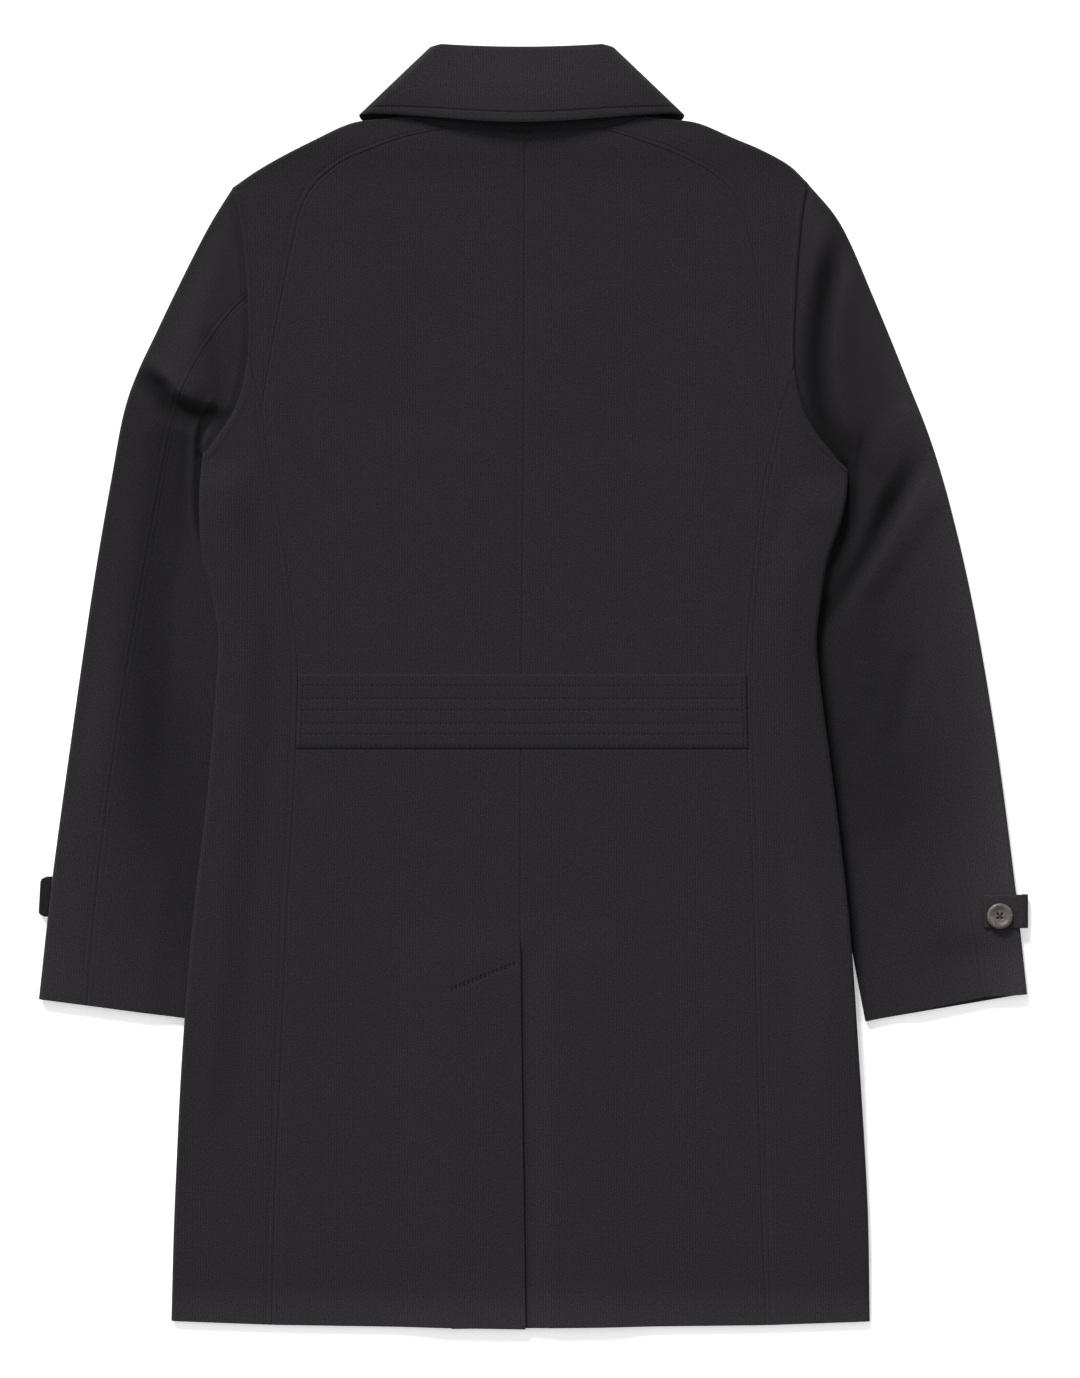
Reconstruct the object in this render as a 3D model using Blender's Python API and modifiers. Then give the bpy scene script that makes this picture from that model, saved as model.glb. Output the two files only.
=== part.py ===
"""A wool overcoat laid flat on its front, back up: every cut piece is a closed wall of cloth.

X runs to the photo's right, Y to the collar, Z up from the surface. Tables are in millimetres.
"""
import math

import bmesh
import bpy
from mathutils import Vector

# Cloth and seams
MM = 0.001
WALL = 1.8
SEAM_GAP = 0.3
HALF_GAP = SEAM_GAP / 2
SHARPEST = 0.3
LAYER = WALL + SEAM_GAP

# Body: heights of the layers that lie on each other
BODY_LOFT = 7.4
VENT_EXTRA = 1.0
HEM_PRESS = 2.0
HEM_Y = -508
HEM_DIP = 6
HALF_HEM = 280
HEM_PRESS_LENGTH = 60
NECK_LIFT = 2.4
NECK_LIFT_START = 404
NECK_LIFT_LENGTH = 36

# Centre back vent, left over right
VENT_TOP = -220
VENT_SLANT_END = -242
UNDERLAP = 59
VENT_DROP_LENGTH = 25
VENT_CLEAR = 2
VENT_REACH = 55
VENT_SWELL_LENGTH = 40

# Columns across the backs, from the centre to the seam
BACK_SPREAD = (0, 0.14, 0.28, 0.55, 0.78, 1)
SEAM_COLUMNS = BACK_SPREAD[3:]

# Sleeve under the side of the body
TUCK_RISE = 5.3
TUCK_FLAT = 20
TUCK_RAMP = 32
TUCK_START = 55
TUCK_END_Y = -315
TUCK_END_LENGTH = 40
TUCKED_TOP = 4.8
TUCKED_RAMP = 28
TUCK_LAST_SECTION = 5.6
NEAR_SIDE = (TUCK_FLAT + TUCK_RAMP, TUCK_FLAT + TUCK_RAMP / 2, TUCK_FLAT, TUCK_FLAT / 2)
JOIN_BOW = 0.35

# Fronts, closed left over right under a plain placket
FRONT_OVERLAP = 25
OVERLAP_CLEAR = 2
OVERLAP_RAMP = 18
STRIP_END = FRONT_OVERLAP * 2 + OVERLAP_CLEAR
NEAR_PLACKET = (0, STRIP_END, STRIP_END + OVERLAP_RAMP)
FRONT_NECK_Y = 361
FRONT_FULL_WIDTH = 230
FRONT_NECK_SAG = 8
FRONT_NECK_END = 0.95
FRONT_TIP_ROW_Y = 326

# Collar
COLLAR_X = -9
FALL_LOW_HALF = 130.3
FALL_TOP_HALF = 71
FALL_LOW_Y = 458
FALL_TOP_Y = 514.6
FALL_EDGE_Y = 452.5
FALL_TOP_DIP = 2.6
FALL_CORNER_DROP = 2.5
FALL_FACE = 12.4
FALL_CROWN = 1.6
FALL_EDGE_LIFT = 1.5
WING = 20
STAND_HALF = 60
STAND_ROLL = 2.2
SLANT_TURN = (-60, -30, 0, 30, 60)
FALL_SPREAD = (1, 0.75, 0.45, 0.15)
FALL_STOPS = (0, 0.35, 0.7)
STAND_STOPS = (0, 0.3, 0.6)

# Half belt, cuff tabs and button
BELT_TOP = 10.4
BELT_BOTTOM = -48.8
BELT_THICK = 2.2
BELT_COLUMNS = 6
TAB_WALL = 1.6
TAB_RIGHT_LOW_Y = -193
TAB_RIGHT_HIGH_Y = -166
TAB_RIGHT_INNER_X = 361
TAB_RIGHT_OUTER_X = 396.6
TAB_LEFT_LOW_Y = -184
TAB_LEFT_HIGH_Y = -152
TAB_LEFT_OUTER_X = -396.6
TAB_LEFT_TOP = 4.8
TAB_TURN = (90, 45, 0, -45, -90)
HALVES = (0, 0.5, 1)
BUTTON_X = 373
BUTTON_Y = -183
BUTTON_HOLE = 1.0
BUTTON_HOLE_OFFSET = 2.2
BUTTON_HOLES = 4
HOLE_SIDES = 8
HOLE_DEPTH = 12
BUTTON_STEPS = 24
MERGE = 0.00001

# Button profile from its middle, round the rim and back: radius, height
BUTTON_PROFILE = ((0, 2.2), (6.6, 2.3), (8.2, 3.2), (9.6, 3.0), (10.4, 1.9), (9.4, 0), (0, 0))

# Finishes as linear colour and roughness
CLOTH_COLOUR = (0.024, 0.022, 0.025)
CLOTH_ROUGHNESS = 0.9
BUTTON_COLOUR = (0.087, 0.072, 0.063)
BUTTON_ROUGHNESS = 0.45

# Body sections: y, left edge, left seam, right seam, right edge
BODY = (
    (HEM_Y, -290, -209, 187, 270),
    (-410, -287, -206.5, 183, 268),
    (-298, -281, -201.5, 180, 261),
    (-186, -272, -197, 177.5, 253),
    (-90, -261, -191.5, 173.5, 242),
    (6, -253, -188, 170.5, 229.5),
    (38, -251.5, -190, 172, 227),
    (70, -256, -193.5, 174.5, 230.5),
    (102, -264, -197.5, 177.5, 236),
    (134, -267, -202.5, 181, 247),
    (166, -266.5, -209, 185.5, 252.5),
    (198, -264, -214.3, 193.2, 252),
)

# Centre back seam and the vent's edge below it: y, x
CENTRE = ((HEM_Y, -6), (-410, -7.5), (-220, -10), (-90, -10), (38, -9), (166, -7.5), (443, -6.4))

# Heights at which the body is lofted, from the hem to just below the underarm
LEVELS = (HEM_Y, -440, -370, -310, -270, VENT_SLANT_END, VENT_TOP, -190,
          -150, -90, -30, 30, 70, 100, 134, 166)

# Armhole from the shoulder tip to the underarm: x, y
ARMHOLE = {
    "left": ((-240.8, 400), (-235.5, 377.5), (-231.5, 349.5), (-228.4, 312.8),
             (-228, 269.6), (-236.8, 227), (-256.8, 195), (-264.8, 185.6)),
    "right": ((220, 404), (216, 380), (212.8, 349.6), (210.4, 311.2),
              (209.2, 260), (218.4, 217.6), (240.8, 185.6), (252.8, 173.6)),
}
TIP_NEAR = 0.25
ELBOW_STATION = 3
JOIN_STATION = 4
FRONT_SEAM_STATION = 5
UNDERARM_NEAR = 6.6
ARM_STEP = 0.1
ARM_STATIONS = (0, TIP_NEAR, 1, 2, ELBOW_STATION, JOIN_STATION, 4.5,
                FRONT_SEAM_STATION, 5.5, 6, UNDERARM_NEAR, 7)

# Side edge beside the join of yoke and side-back seam: x, y
JOIN_EDGE = {"left": (-265.8, 177), "right": (252.9, 170)}

# Yoke seam from the join to the neck: x, y
YOKE_SEAM = {
    "left": ((-217.6, 223), (-206.4, 285.6), (-200, 317.6), (-194.4, 345.6),
             (-190.4, 364), (-187.2, 377.6), (-180.8, 392.8), (-169.6, 407),
             (-150.4, 421), (-126.4, 431), (-98.4, 440.8), (-69.6, 446.4)),
    "right": ((197.6, 221.6), (186.4, 285.6), (182.4, 317.6), (176.8, 345.6),
              (172.8, 362.4), (168.8, 376), (160.8, 392.8), (148.8, 406.4),
              (128.8, 419), (104.8, 429.6), (79, 439), (57.6, 445.6)),
}

# Shoulder fold from the tip to its end under the collar: x, y
SHOULDER = {
    "left": ((-240.8, 400), (-222, 413), (-200, 425.5), (-176, 437.5),
             (-152, 449), (-135, 453.5), (-108, 456)),
    "right": ((220, 404), (205, 418), (183, 430), (160, 439.7),
              (135, 450.5), (118, 453.8), (92, 456.5)),
}
NECK_CENTRE = (-6.4, 443.2)

# Sleeve sections from the cuff to the armhole: outer x, y, elbow seam x, y, inner x, y
SLEEVE = {
    "left": (
        (-396, -250, -357, -255, -266.4, -267),
        (-385.6, -156, -348.4, -156, -252.6, -160),
        (-370.4, -44, -332, -34, -240.5, -44),
        (-353.6, 73.6, -312.8, 81.6, -239, 60),
        (-338.4, 164, -297.6, 165.6, -262, 116),
        (-324.8, 231, -284.8, 223, -268.2, 156),
        (-300, 288, -268, 261, -267.4, 173),
        (-264, 361, -243, 297.6, -266.1, 181.5),
        (-240.8, 400, -228.4, 312.8, -264.8, 185.6),
    ),
    "right": (
        (396, -246, 361.6, -248, 266.4, -268),
        (386, -156, 347.6, -158, 245.5, -160),
        (369.6, -33, 328.8, -38, 221, -47),
        (348.8, 84, 304.5, 71, 213, 60),
        (324, 181.6, 287, 152, 238, 112),
        (298.4, 249.6, 273, 212, 251.6, 147),
        (271.2, 316, 258, 259, 253.8, 161),
        (247, 370, 232, 294, 254.2, 169.3),
        (220, 404, 210.4, 311.2, 252.8, 173.6),
    ),
}
SECTIONS = (0, 0.5, 1, 1.5, 2, 2.5, 3, 3.5, 4, 4.35, 4.7, 5, 5.5, 6, 6.5, 7, 7.5, 8)
BOW_START = 6.5
PINCH_START = 5
FOLD_PINCH = 0.5
SECTION_STEP = 0.2

# Large folds of the sleeves: start x, y, end x, y, half width, height
FOLDS = (
    (-308, 256, -262, 236, 15, 2.2),
    (-306, 240, -258, 218, 14, -3.0),
    (-287, 30, -294, -130, 28, -1.6),
    (244, 358, 224, 262, 15, -3.0),
    (224, 262, 244, 190, 15, -3.0),
    (306, 186, 238, 94, 18, -3.0),
    (262, 180, 300, 230, 20, 1.8),
)

# Angles round a quarter of an edge fold
QUARTER = (math.radians(90), math.radians(45), 0)
SIGN = {"left": 1, "right": -1}


def ease(t):
    t = min(max(t, 0), 1)
    return t * t * (3 - 2 * t)


def mix(a, b, t):
    return a + (b - a) * t


def through(keys, rows):
    """A smooth function through rows of numbers, one row at each key."""
    last = len(keys) - 1

    def slope(k):
        low = max(k - 1, 0)
        high = min(k + 1, last)
        return [(b - a) / (keys[high] - keys[low]) for a, b in zip(rows[low], rows[high])]

    def at(key):
        k = max(i for i in range(last) if i == 0 or keys[i] <= key)
        width = keys[k + 1] - keys[k]
        t = (key - keys[k]) / width
        rise = t * t * (3 - 2 * t)
        leave = t * (1 - t) * (1 - t) * width
        arrive = t * t * (t - 1) * width
        return [a + (b - a) * rise + m * leave + n * arrive
                for a, b, m, n in zip(rows[k], rows[k + 1], slope(k), slope(k + 1))]

    return at


def stations(rows):
    return through(range(len(rows)), rows)


body_at = through([row[0] for row in BODY], [row[1:] for row in BODY])
centre_at = through([row[0] for row in CENTRE], [row[1:] for row in CENTRE])
armhole_at = {side: stations(rows) for side, rows in ARMHOLE.items()}
sleeve_at = {side: stations(rows) for side, rows in SLEEVE.items()}


def side_edge(side, y):
    return body_at(min(y, BODY[-1][0]))[0 if side == "left" else 3]


def side_seam(side, y):
    return body_at(min(y, BODY[-1][0]))[1 if side == "left" else 2]


def centre(y):
    return centre_at(y)[0]


def arm_point(side, station, shift=0):
    """Point of the armhole, moved towards the sleeve by shift."""
    before = Vector(armhole_at[side](max(station - ARM_STEP, 0)))
    after = Vector(armhole_at[side](min(station + ARM_STEP, ARM_STATIONS[-1])))
    along = (after - before).normalized()
    outward = Vector((along.y, -along.x)) * SIGN[side]
    return Vector(armhole_at[side](station)) + outward * shift


def hem_point(x, y):
    """The hem row dips a little towards the centre back."""
    if y > HEM_Y:
        return Vector((x, y))
    return Vector((x, y - HEM_DIP * (1 - ((x - centre(y)) / HALF_HEM) ** 2)))


def tuck_rise(side, p):
    """How far the sleeve under the side lifts the body."""
    inward = (p.x - side_edge(side, p.y)) * SIGN[side]
    across = 1 - ease((inward - TUCK_FLAT) / TUCK_RAMP)
    underarm = ARMHOLE[side][-1][1]
    along = ease((underarm - p.y) / TUCK_START) * ease((p.y - TUCK_END_Y) / TUCK_END_LENGTH)
    return TUCK_RISE * across * along


def neck_lift(p):
    return NECK_LIFT * ease((p.y - NECK_LIFT_START) / NECK_LIFT_LENGTH)


def near_vent(p):
    across = ease(2 - abs(p.x - centre(p.y)) / VENT_REACH)
    return across * ease((VENT_TOP + VENT_SWELL_LENGTH - p.y) / VENT_SWELL_LENGTH)


def body_low(side, p):
    return tuck_rise(side, p) + neck_lift(p)


def body_high(side, p):
    """The face of the back: lower at the hem, higher over the vent's two layers."""
    vent = near_vent(p)
    pressed = HEM_PRESS * ease((HEM_Y + HEM_PRESS_LENGTH - p.y) / HEM_PRESS_LENGTH) * (1 - vent)
    return body_low(side, p) + BODY_LOFT + VENT_EXTRA * vent - pressed


def vent_drop(p):
    """The right back passes one layer under the left one at the vent."""
    across = ease((centre(p.y) + VENT_CLEAR + VENT_DROP_LENGTH - p.x) / VENT_DROP_LENGTH)
    return LAYER * across * ease((VENT_TOP + VENT_DROP_LENGTH - p.y) / VENT_DROP_LENGTH)


def fold_height(p):
    total = 0
    for x0, y0, x1, y1, half_width, height in FOLDS:
        start = Vector((x0, y0))
        run = Vector((x1, y1)) - start
        t = min(max((p - start).dot(run) / run.length_squared, 0), 1)
        total += height * ease(1 - (p - start - run * t).length / half_width)
    return total


def lift(p, z):
    return Vector((p.x, p.y, z))


def flat_pair(p, face, inside):
    """Outer and inner point of a wall where the cloth lies flat."""
    return lift(p, face), lift(p, inside)


def fold_pair(edge, start, low, high, angle):
    """Outer and inner point of a wall at an angle round an edge fold."""
    reach = (start - edge).length
    inward = (start - edge) / reach
    middle = (low + high) / 2
    half = (high - low) / 2
    opening = 1 - math.cos(angle)
    outer = lift(edge + inward * reach * opening, middle + half * math.sin(angle))
    inner_spot = edge + inward * (WALL + (reach - WALL) * opening)
    return outer, lift(inner_spot, middle + inner_height(half, angle))


def inner_height(half, angle):
    """Height of a fold's inner point over its middle, at least half a seam gap away from it."""
    if angle == 0:
        return 0
    return math.copysign(max((half - WALL) * math.sin(abs(angle)), HALF_GAP), angle)


def seam_angle(low, high):
    """Angle of an edge fold's seam, half a seam gap from its middle."""
    return math.asin(HALF_GAP * 2 / (high - low))


def inset(pairs, first_row, last_row, first_column, last_column):
    """Draw the named sides of a grid of wall points in by half a seam gap, in plan."""
    rows = len(pairs)
    columns = len(pairs[0])
    moves = {}

    def draw_in(here, inner, before, after):
        spot = pairs[here[0]][here[1]][0].xy
        way = pairs[inner[0]][inner[1]][0].xy - spot
        along = pairs[after[0]][after[1]][0].xy - pairs[before[0]][before[1]][0].xy
        square = abs(way.normalized().cross(along.normalized()))
        step = way.normalized() * HALF_GAP / max(square, SHARPEST)
        moves[here] = moves.get(here, Vector((0, 0))) + step

    for i in range(rows):
        low, high = max(i - 1, 0), min(i + 1, rows - 1)
        if first_column:
            draw_in((i, 0), (i, 1), (low, 0), (high, 0))
        if last_column:
            draw_in((i, columns - 1), (i, columns - 2), (low, columns - 1), (high, columns - 1))
    for j in range(columns):
        low, high = max(j - 1, 0), min(j + 1, columns - 1)
        if first_row:
            draw_in((0, j), (1, j), (0, low), (0, high))
        if last_row:
            draw_in((rows - 1, j), (rows - 2, j), (rows - 1, low), (rows - 1, high))
    for (i, j), step in moves.items():
        shift = step.to_3d()
        pairs[i][j] = tuple(point + shift for point in pairs[i][j])
    return pairs


def finish(name, colour, roughness):
    material = bpy.data.materials.new("finish_" + name)
    material.use_nodes = True
    shader = material.node_tree.nodes["Principled BSDF"]
    shader.inputs["Base Color"].default_value = (*colour, 1)
    shader.inputs["Roughness"].default_value = roughness
    shader.inputs["Metallic"].default_value = 0
    material.diffuse_color = (*colour, 1)
    return material


def add_part(name, mesh, colour=CLOTH_COLOUR, roughness=CLOTH_ROUGHNESS):
    part = bpy.data.objects.new(name, mesh)
    part.data.materials.append(finish(name, colour, roughness))
    parts.objects.link(part)
    return part


def wall(name, pairs):
    """Loft one closed wall of cloth through rows of outer and inner points."""
    rows = range(len(pairs))
    columns = range(len(pairs[0]))
    form = bmesh.new()
    skins = [[[form.verts.new(pairs[i][j][k] * MM) for j in columns] for i in rows] for k in (0, 1)]
    for skin in skins:
        for i in rows[:-1]:
            for j in columns[:-1]:
                form.faces.new((skin[i][j], skin[i][j + 1], skin[i + 1][j + 1], skin[i + 1][j]))
    rim = [(0, j) for j in columns]
    rim += [(i, columns[-1]) for i in rows[1:]]
    rim += [(rows[-1], j) for j in reversed(columns[:-1])]
    rim += [(i, 0) for i in reversed(rows[1:-1])]
    for (i, j), (m, n) in zip(rim, rim[1:] + rim[:1]):
        form.faces.new((skins[0][i][j], skins[0][m][n], skins[1][m][n], skins[1][i][j]))
    bmesh.ops.recalc_face_normals(form, faces=form.faces)
    bmesh.ops.triangulate(form, faces=form.faces)
    mesh = bpy.data.meshes.new(name)
    form.to_mesh(mesh)
    form.free()
    return add_part(name, mesh)


def back_panel(side):
    """Centre back from the hem to the neck; the right one carries the vent's underlap."""
    seams = [hem_point(side_seam(side, y), y) for y in LEVELS] + [Vector(p) for p in YOKE_SEAM[side]]
    pairs = []
    for seam in seams:
        middle = Vector((centre(seam.y), seam.y))
        if seam.y <= HEM_Y:
            middle = hem_point(centre(HEM_Y), HEM_Y)
        if seam == seams[-1]:
            middle = Vector(NECK_CENTRE)
        row = [middle.lerp(seam, t) for t in BACK_SPREAD]
        if side == "right":
            under = UNDERLAP * min(max((VENT_TOP - seam.y) / (VENT_TOP - VENT_SLANT_END), 0), 1)
            first = middle - Vector((under, 0))
            clear = middle + Vector((VENT_CLEAR, 0))
            ramp = middle + Vector((VENT_CLEAR + VENT_DROP_LENGTH, 0))
            row = [first, first.lerp(clear, 0.5), clear, clear.lerp(ramp, 0.5), ramp]
            row += [middle.lerp(seam, t) for t in SEAM_COLUMNS]
        face = [body_high(side, p) - (vent_drop(p) if side == "right" else 0) for p in row]
        pairs.append([flat_pair(p, z, z - WALL) for p, z in zip(row, face)])
    wall("back_" + side, inset(pairs, False, True, True, True))


def side_back_panel(side):
    """Side of the back, from its seam round to the middle of the side fold."""
    stops = [s for s in ARM_STATIONS if JOIN_STATION <= s <= UNDERARM_NEAR]
    seams = [hem_point(side_seam(side, y), y) for y in LEVELS]
    edges = [hem_point(side_edge(side, y), y) for y in LEVELS]
    seams += [Vector(YOKE_SEAM[side][0]), arm_point(side, JOIN_STATION, -HALF_GAP)]
    edges += [Vector(JOIN_EDGE[side]), arm_point(side, ARM_STATIONS[-1], -HALF_GAP)]
    last = len(stops) - 1
    pairs = []
    for seam, edge in zip(seams, edges):
        low, high = body_low(side, edge), body_high(side, edge)
        inward = (seam - edge).normalized()
        start = edge + inward * (high - low) / 2
        row = [seam] + [edge + inward * e for e in NEAR_SIDE] + [start]
        if seam == seams[-1]:
            row = [arm_point(side, s, -HALF_GAP) for s in stops]
            start = row[-1]
        elif seam == seams[-2]:
            bows = [JOIN_BOW * k * (last - k) * 4 / last ** 2 for k in range(last + 1)]
            row = [p.lerp(arm_point(side, s), bow) for p, s, bow in zip(row, stops, bows)]
        flats = [flat_pair(p, body_high(side, p), body_high(side, p) - WALL) for p in row]
        angles = (QUARTER[1], seam_angle(low, high))
        pairs.append(flats + [fold_pair(edge, start, low, high, a) for a in angles])
    wall("side_back_" + side, inset(pairs, False, False, True, False))


def yoke_panel(side):
    """Shoulder piece: armhole rows lie flat, shoulder rows turn to the middle of the shoulder fold."""
    armhole = [arm_point(side, s, -HALF_GAP) for s in reversed(ARM_STATIONS) if s <= JOIN_STATION]
    borders = armhole + [Vector(p) for p in SHOULDER[side][1:]]
    pairs = []
    for k, (seam, border) in enumerate(zip(YOKE_SEAM[side], borders)):
        seam = Vector(seam)
        on_shoulder = k >= len(armhole) - 1
        low, high = body_low(side, border), body_high(side, border)
        start = border + (seam - border).normalized() * (high - low) / 2
        row = [seam, seam.lerp(start, 0.5), start]
        flats = [flat_pair(p, body_high(side, p), body_high(side, p) - WALL) for p in row]
        if on_shoulder:
            angles = (QUARTER[1], seam_angle(low, high))
            flats += [fold_pair(border, start, low, high, a) for a in angles]
        else:
            for angle in QUARTER[1:]:
                p = border.lerp(start, 1 - math.cos(angle))
                flats.append(flat_pair(p, body_high(side, p), body_high(side, p) - WALL))
        pairs.append(flats)
    wall("yoke_" + side, inset(pairs, True, True, True, False))


def front_neck(side, t):
    """Point of the front neckline, from the placket up to the shoulder."""
    start = Vector((centre(FRONT_NECK_Y) + FRONT_OVERLAP * SIGN[side], FRONT_NECK_Y))
    sag = Vector((0, FRONT_NECK_SAG * 4 * t * (1 - t)))
    return start.lerp(Vector(SHOULDER[side][-1]), t) - sag


def front_panel(side):
    """Front, which the coat lies on: from its placket edge to the middle of the side and shoulder folds."""
    sides = [hem_point(side_edge(side, y), y) for y in LEVELS] + [Vector(JOIN_EDGE[side])]
    armhole = [arm_point(side, s, -HALF_GAP) for s in reversed(ARM_STATIONS)]
    shoulder = [Vector(p) for p in SHOULDER[side][1:]]
    placket_step = LAYER if side == "right" else 0
    steps = [placket_step, placket_step, 0] + [0 for _ in NEAR_SIDE] + [0]
    underarm_y = armhole[0].y
    tip_y = armhole[-1].y
    pairs = []
    for k, border in enumerate(sides + armhole + shoulder):
        beyond_tip = k - len(sides) - len(armhole) + 1
        if beyond_tip > 0:
            placket = front_neck(side, FRONT_NECK_END * (beyond_tip - 1) / (len(shoulder) - 1))
        else:
            rise = min(max((border.y - underarm_y) / (tip_y - underarm_y), 0), 1)
            y = border.y if rise == 0 else mix(underarm_y, FRONT_TIP_ROW_Y, rise)
            placket = Vector((centre(border.y) + FRONT_OVERLAP * SIGN[side], y))
        if border.y < HEM_Y + 1:
            placket = hem_point(placket.x, HEM_Y)
        low, high = body_low(side, border), body_high(side, border)
        width = (placket - border).length
        inward = (placket - border) / width
        shrink = min(1, width / FRONT_FULL_WIDTH)
        half = (high - low) / 2
        start = border + inward * half
        row = [placket - inward * d * shrink for d in NEAR_PLACKET]
        row += [border + inward * (half + (e - half) * shrink) for e in NEAR_SIDE] + [start]
        below = [body_low(side, p) + step for p, step in zip(row, steps)]
        flats = [flat_pair(p, z, z + WALL) for p, z in zip(row, below)]
        on_armhole = 0 < k - len(sides) < len(armhole) - 1
        for angle in QUARTER[1:]:
            if on_armhole:
                p = border.lerp(start, 1 - math.cos(angle))
                flats.append(flat_pair(p, low, low + WALL))
            else:
                flats.append(fold_pair(border, start, low, high, -max(angle, seam_angle(low, high))))
        pairs.append(flats)
    wall("front_" + side, pairs)


class SleeveRow:
    """One section of a sleeve: its outer edge, elbow seam and inner edge in plan, and its heights."""

    def __init__(self, side, section):
        row = sleeve_at[side](section)
        before = sleeve_at[side](max(section - SECTION_STEP, 0))
        after = sleeve_at[side](min(section + SECTION_STEP, SECTIONS[-1]))
        self.side = side
        self.outer = Vector(row[0:2])
        self.elbow = Vector(row[2:4])
        self.inner = Vector(row[4:6])
        to_body = Vector((SIGN[side], 0))
        self.outer_square = self.square(Vector(after[0:2]) - Vector(before[0:2]), to_body)
        self.inner_square = self.square(Vector(after[4:6]) - Vector(before[4:6]), -to_body)
        self.pinch = 1 - FOLD_PINCH * ease((section - PINCH_START) / (SECTIONS[-1] - PINCH_START))
        self.bow = ease((section - BOW_START) / (SECTIONS[-1] - BOW_START))
        self.tucked = ease(TUCK_LAST_SECTION - section)
        self.at_armhole = section == SECTIONS[-1]
        if self.at_armhole:
            self.outer = arm_point(side, ARM_STATIONS[0], HALF_GAP)
            self.elbow = arm_point(side, ELBOW_STATION, HALF_GAP)
            self.inner = arm_point(side, ARM_STATIONS[-1], HALF_GAP)

    @staticmethod
    def square(along, towards):
        """Unit direction square to an edge, on the side of towards."""
        across = Vector((-along.y, along.x)).normalized()
        return across if across.dot(towards) > 0 else -across

    def high(self, p):
        low_part = 1 - ease(((p - self.inner).length - TUCK_FLAT) / TUCKED_RAMP)
        plain = mix(BODY_LOFT, TUCKED_TOP, low_part * self.tucked)
        return plain + fold_height(p) * (1 - self.bow) * (1 - low_part * self.tucked)

    def strip(self, start, end, stops):
        """Points from start to end, bowed like the armhole between the given stations."""
        curve = [arm_point(self.side, s, HALF_GAP) for s in stops]
        lengths = [0]
        for a, b in zip(curve, curve[1:]):
            lengths.append(lengths[-1] + (b - a).length)
        points = []
        for p, length in zip(curve, lengths):
            t = length / lengths[-1]
            points.append(start.lerp(end, t) + (p - curve[0].lerp(curve[-1], t)) * self.bow)
        return points

    def fold_start(self, edge, across, station):
        """Where the flat cloth ends beside an edge fold: square to the edge, tighter near the armhole."""
        if self.at_armhole:
            return arm_point(self.side, station, HALF_GAP)
        return edge + across * self.high(edge) / 2 * self.pinch


def sleeve_panels(side):
    """Top sleeve round the outer fold, under sleeve round the inner fold, joined underneath."""
    top_stops = [s for s in reversed(ARM_STATIONS) if TIP_NEAR <= s <= ELBOW_STATION]
    under_stops = [s for s in ARM_STATIONS if ELBOW_STATION <= s <= UNDERARM_NEAR]
    below_stops = [s for s in ARM_STATIONS if TIP_NEAR <= s <= UNDERARM_NEAR]
    split = below_stops.index(FRONT_SEAM_STATION)
    round_edge = (QUARTER[1], 0, -QUARTER[1])
    top_pairs = []
    under_pairs = []
    for section in SECTIONS:
        row = SleeveRow(side, section)
        outer_start = row.fold_start(row.outer, row.outer_square, TIP_NEAR)
        inner_start = row.fold_start(row.inner, row.inner_square, UNDERARM_NEAR)
        below = row.strip(outer_start, inner_start, below_stops)
        top_face = row.strip(row.elbow, outer_start, top_stops)
        under_face = row.strip(row.elbow, inner_start, under_stops)
        for pairs, face, edge, start, hidden in (
            (top_pairs, top_face, row.outer, outer_start, below[:split + 1]),
            (under_pairs, under_face, row.inner, inner_start, below[split:][::-1]),
        ):
            flats = [flat_pair(p, row.high(p), row.high(p) - WALL) for p in face]
            high = row.high(start)
            flats += [fold_pair(edge, start, 0, high, a) for a in round_edge]
            flats += [flat_pair(p, 0, WALL) for p in hidden]
            pairs.append(flats)
    wall("top_sleeve_" + side, inset(top_pairs, False, False, True, True))
    wall("under_sleeve_" + side, inset(under_pairs, False, False, True, True))


def roll_line(x):
    """Top edge of the collar, a little lower at the centre back."""
    return FALL_TOP_Y - FALL_TOP_DIP * (1 - min(abs(x - COLLAR_X) / FALL_TOP_HALF, 1) ** 2)


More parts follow.
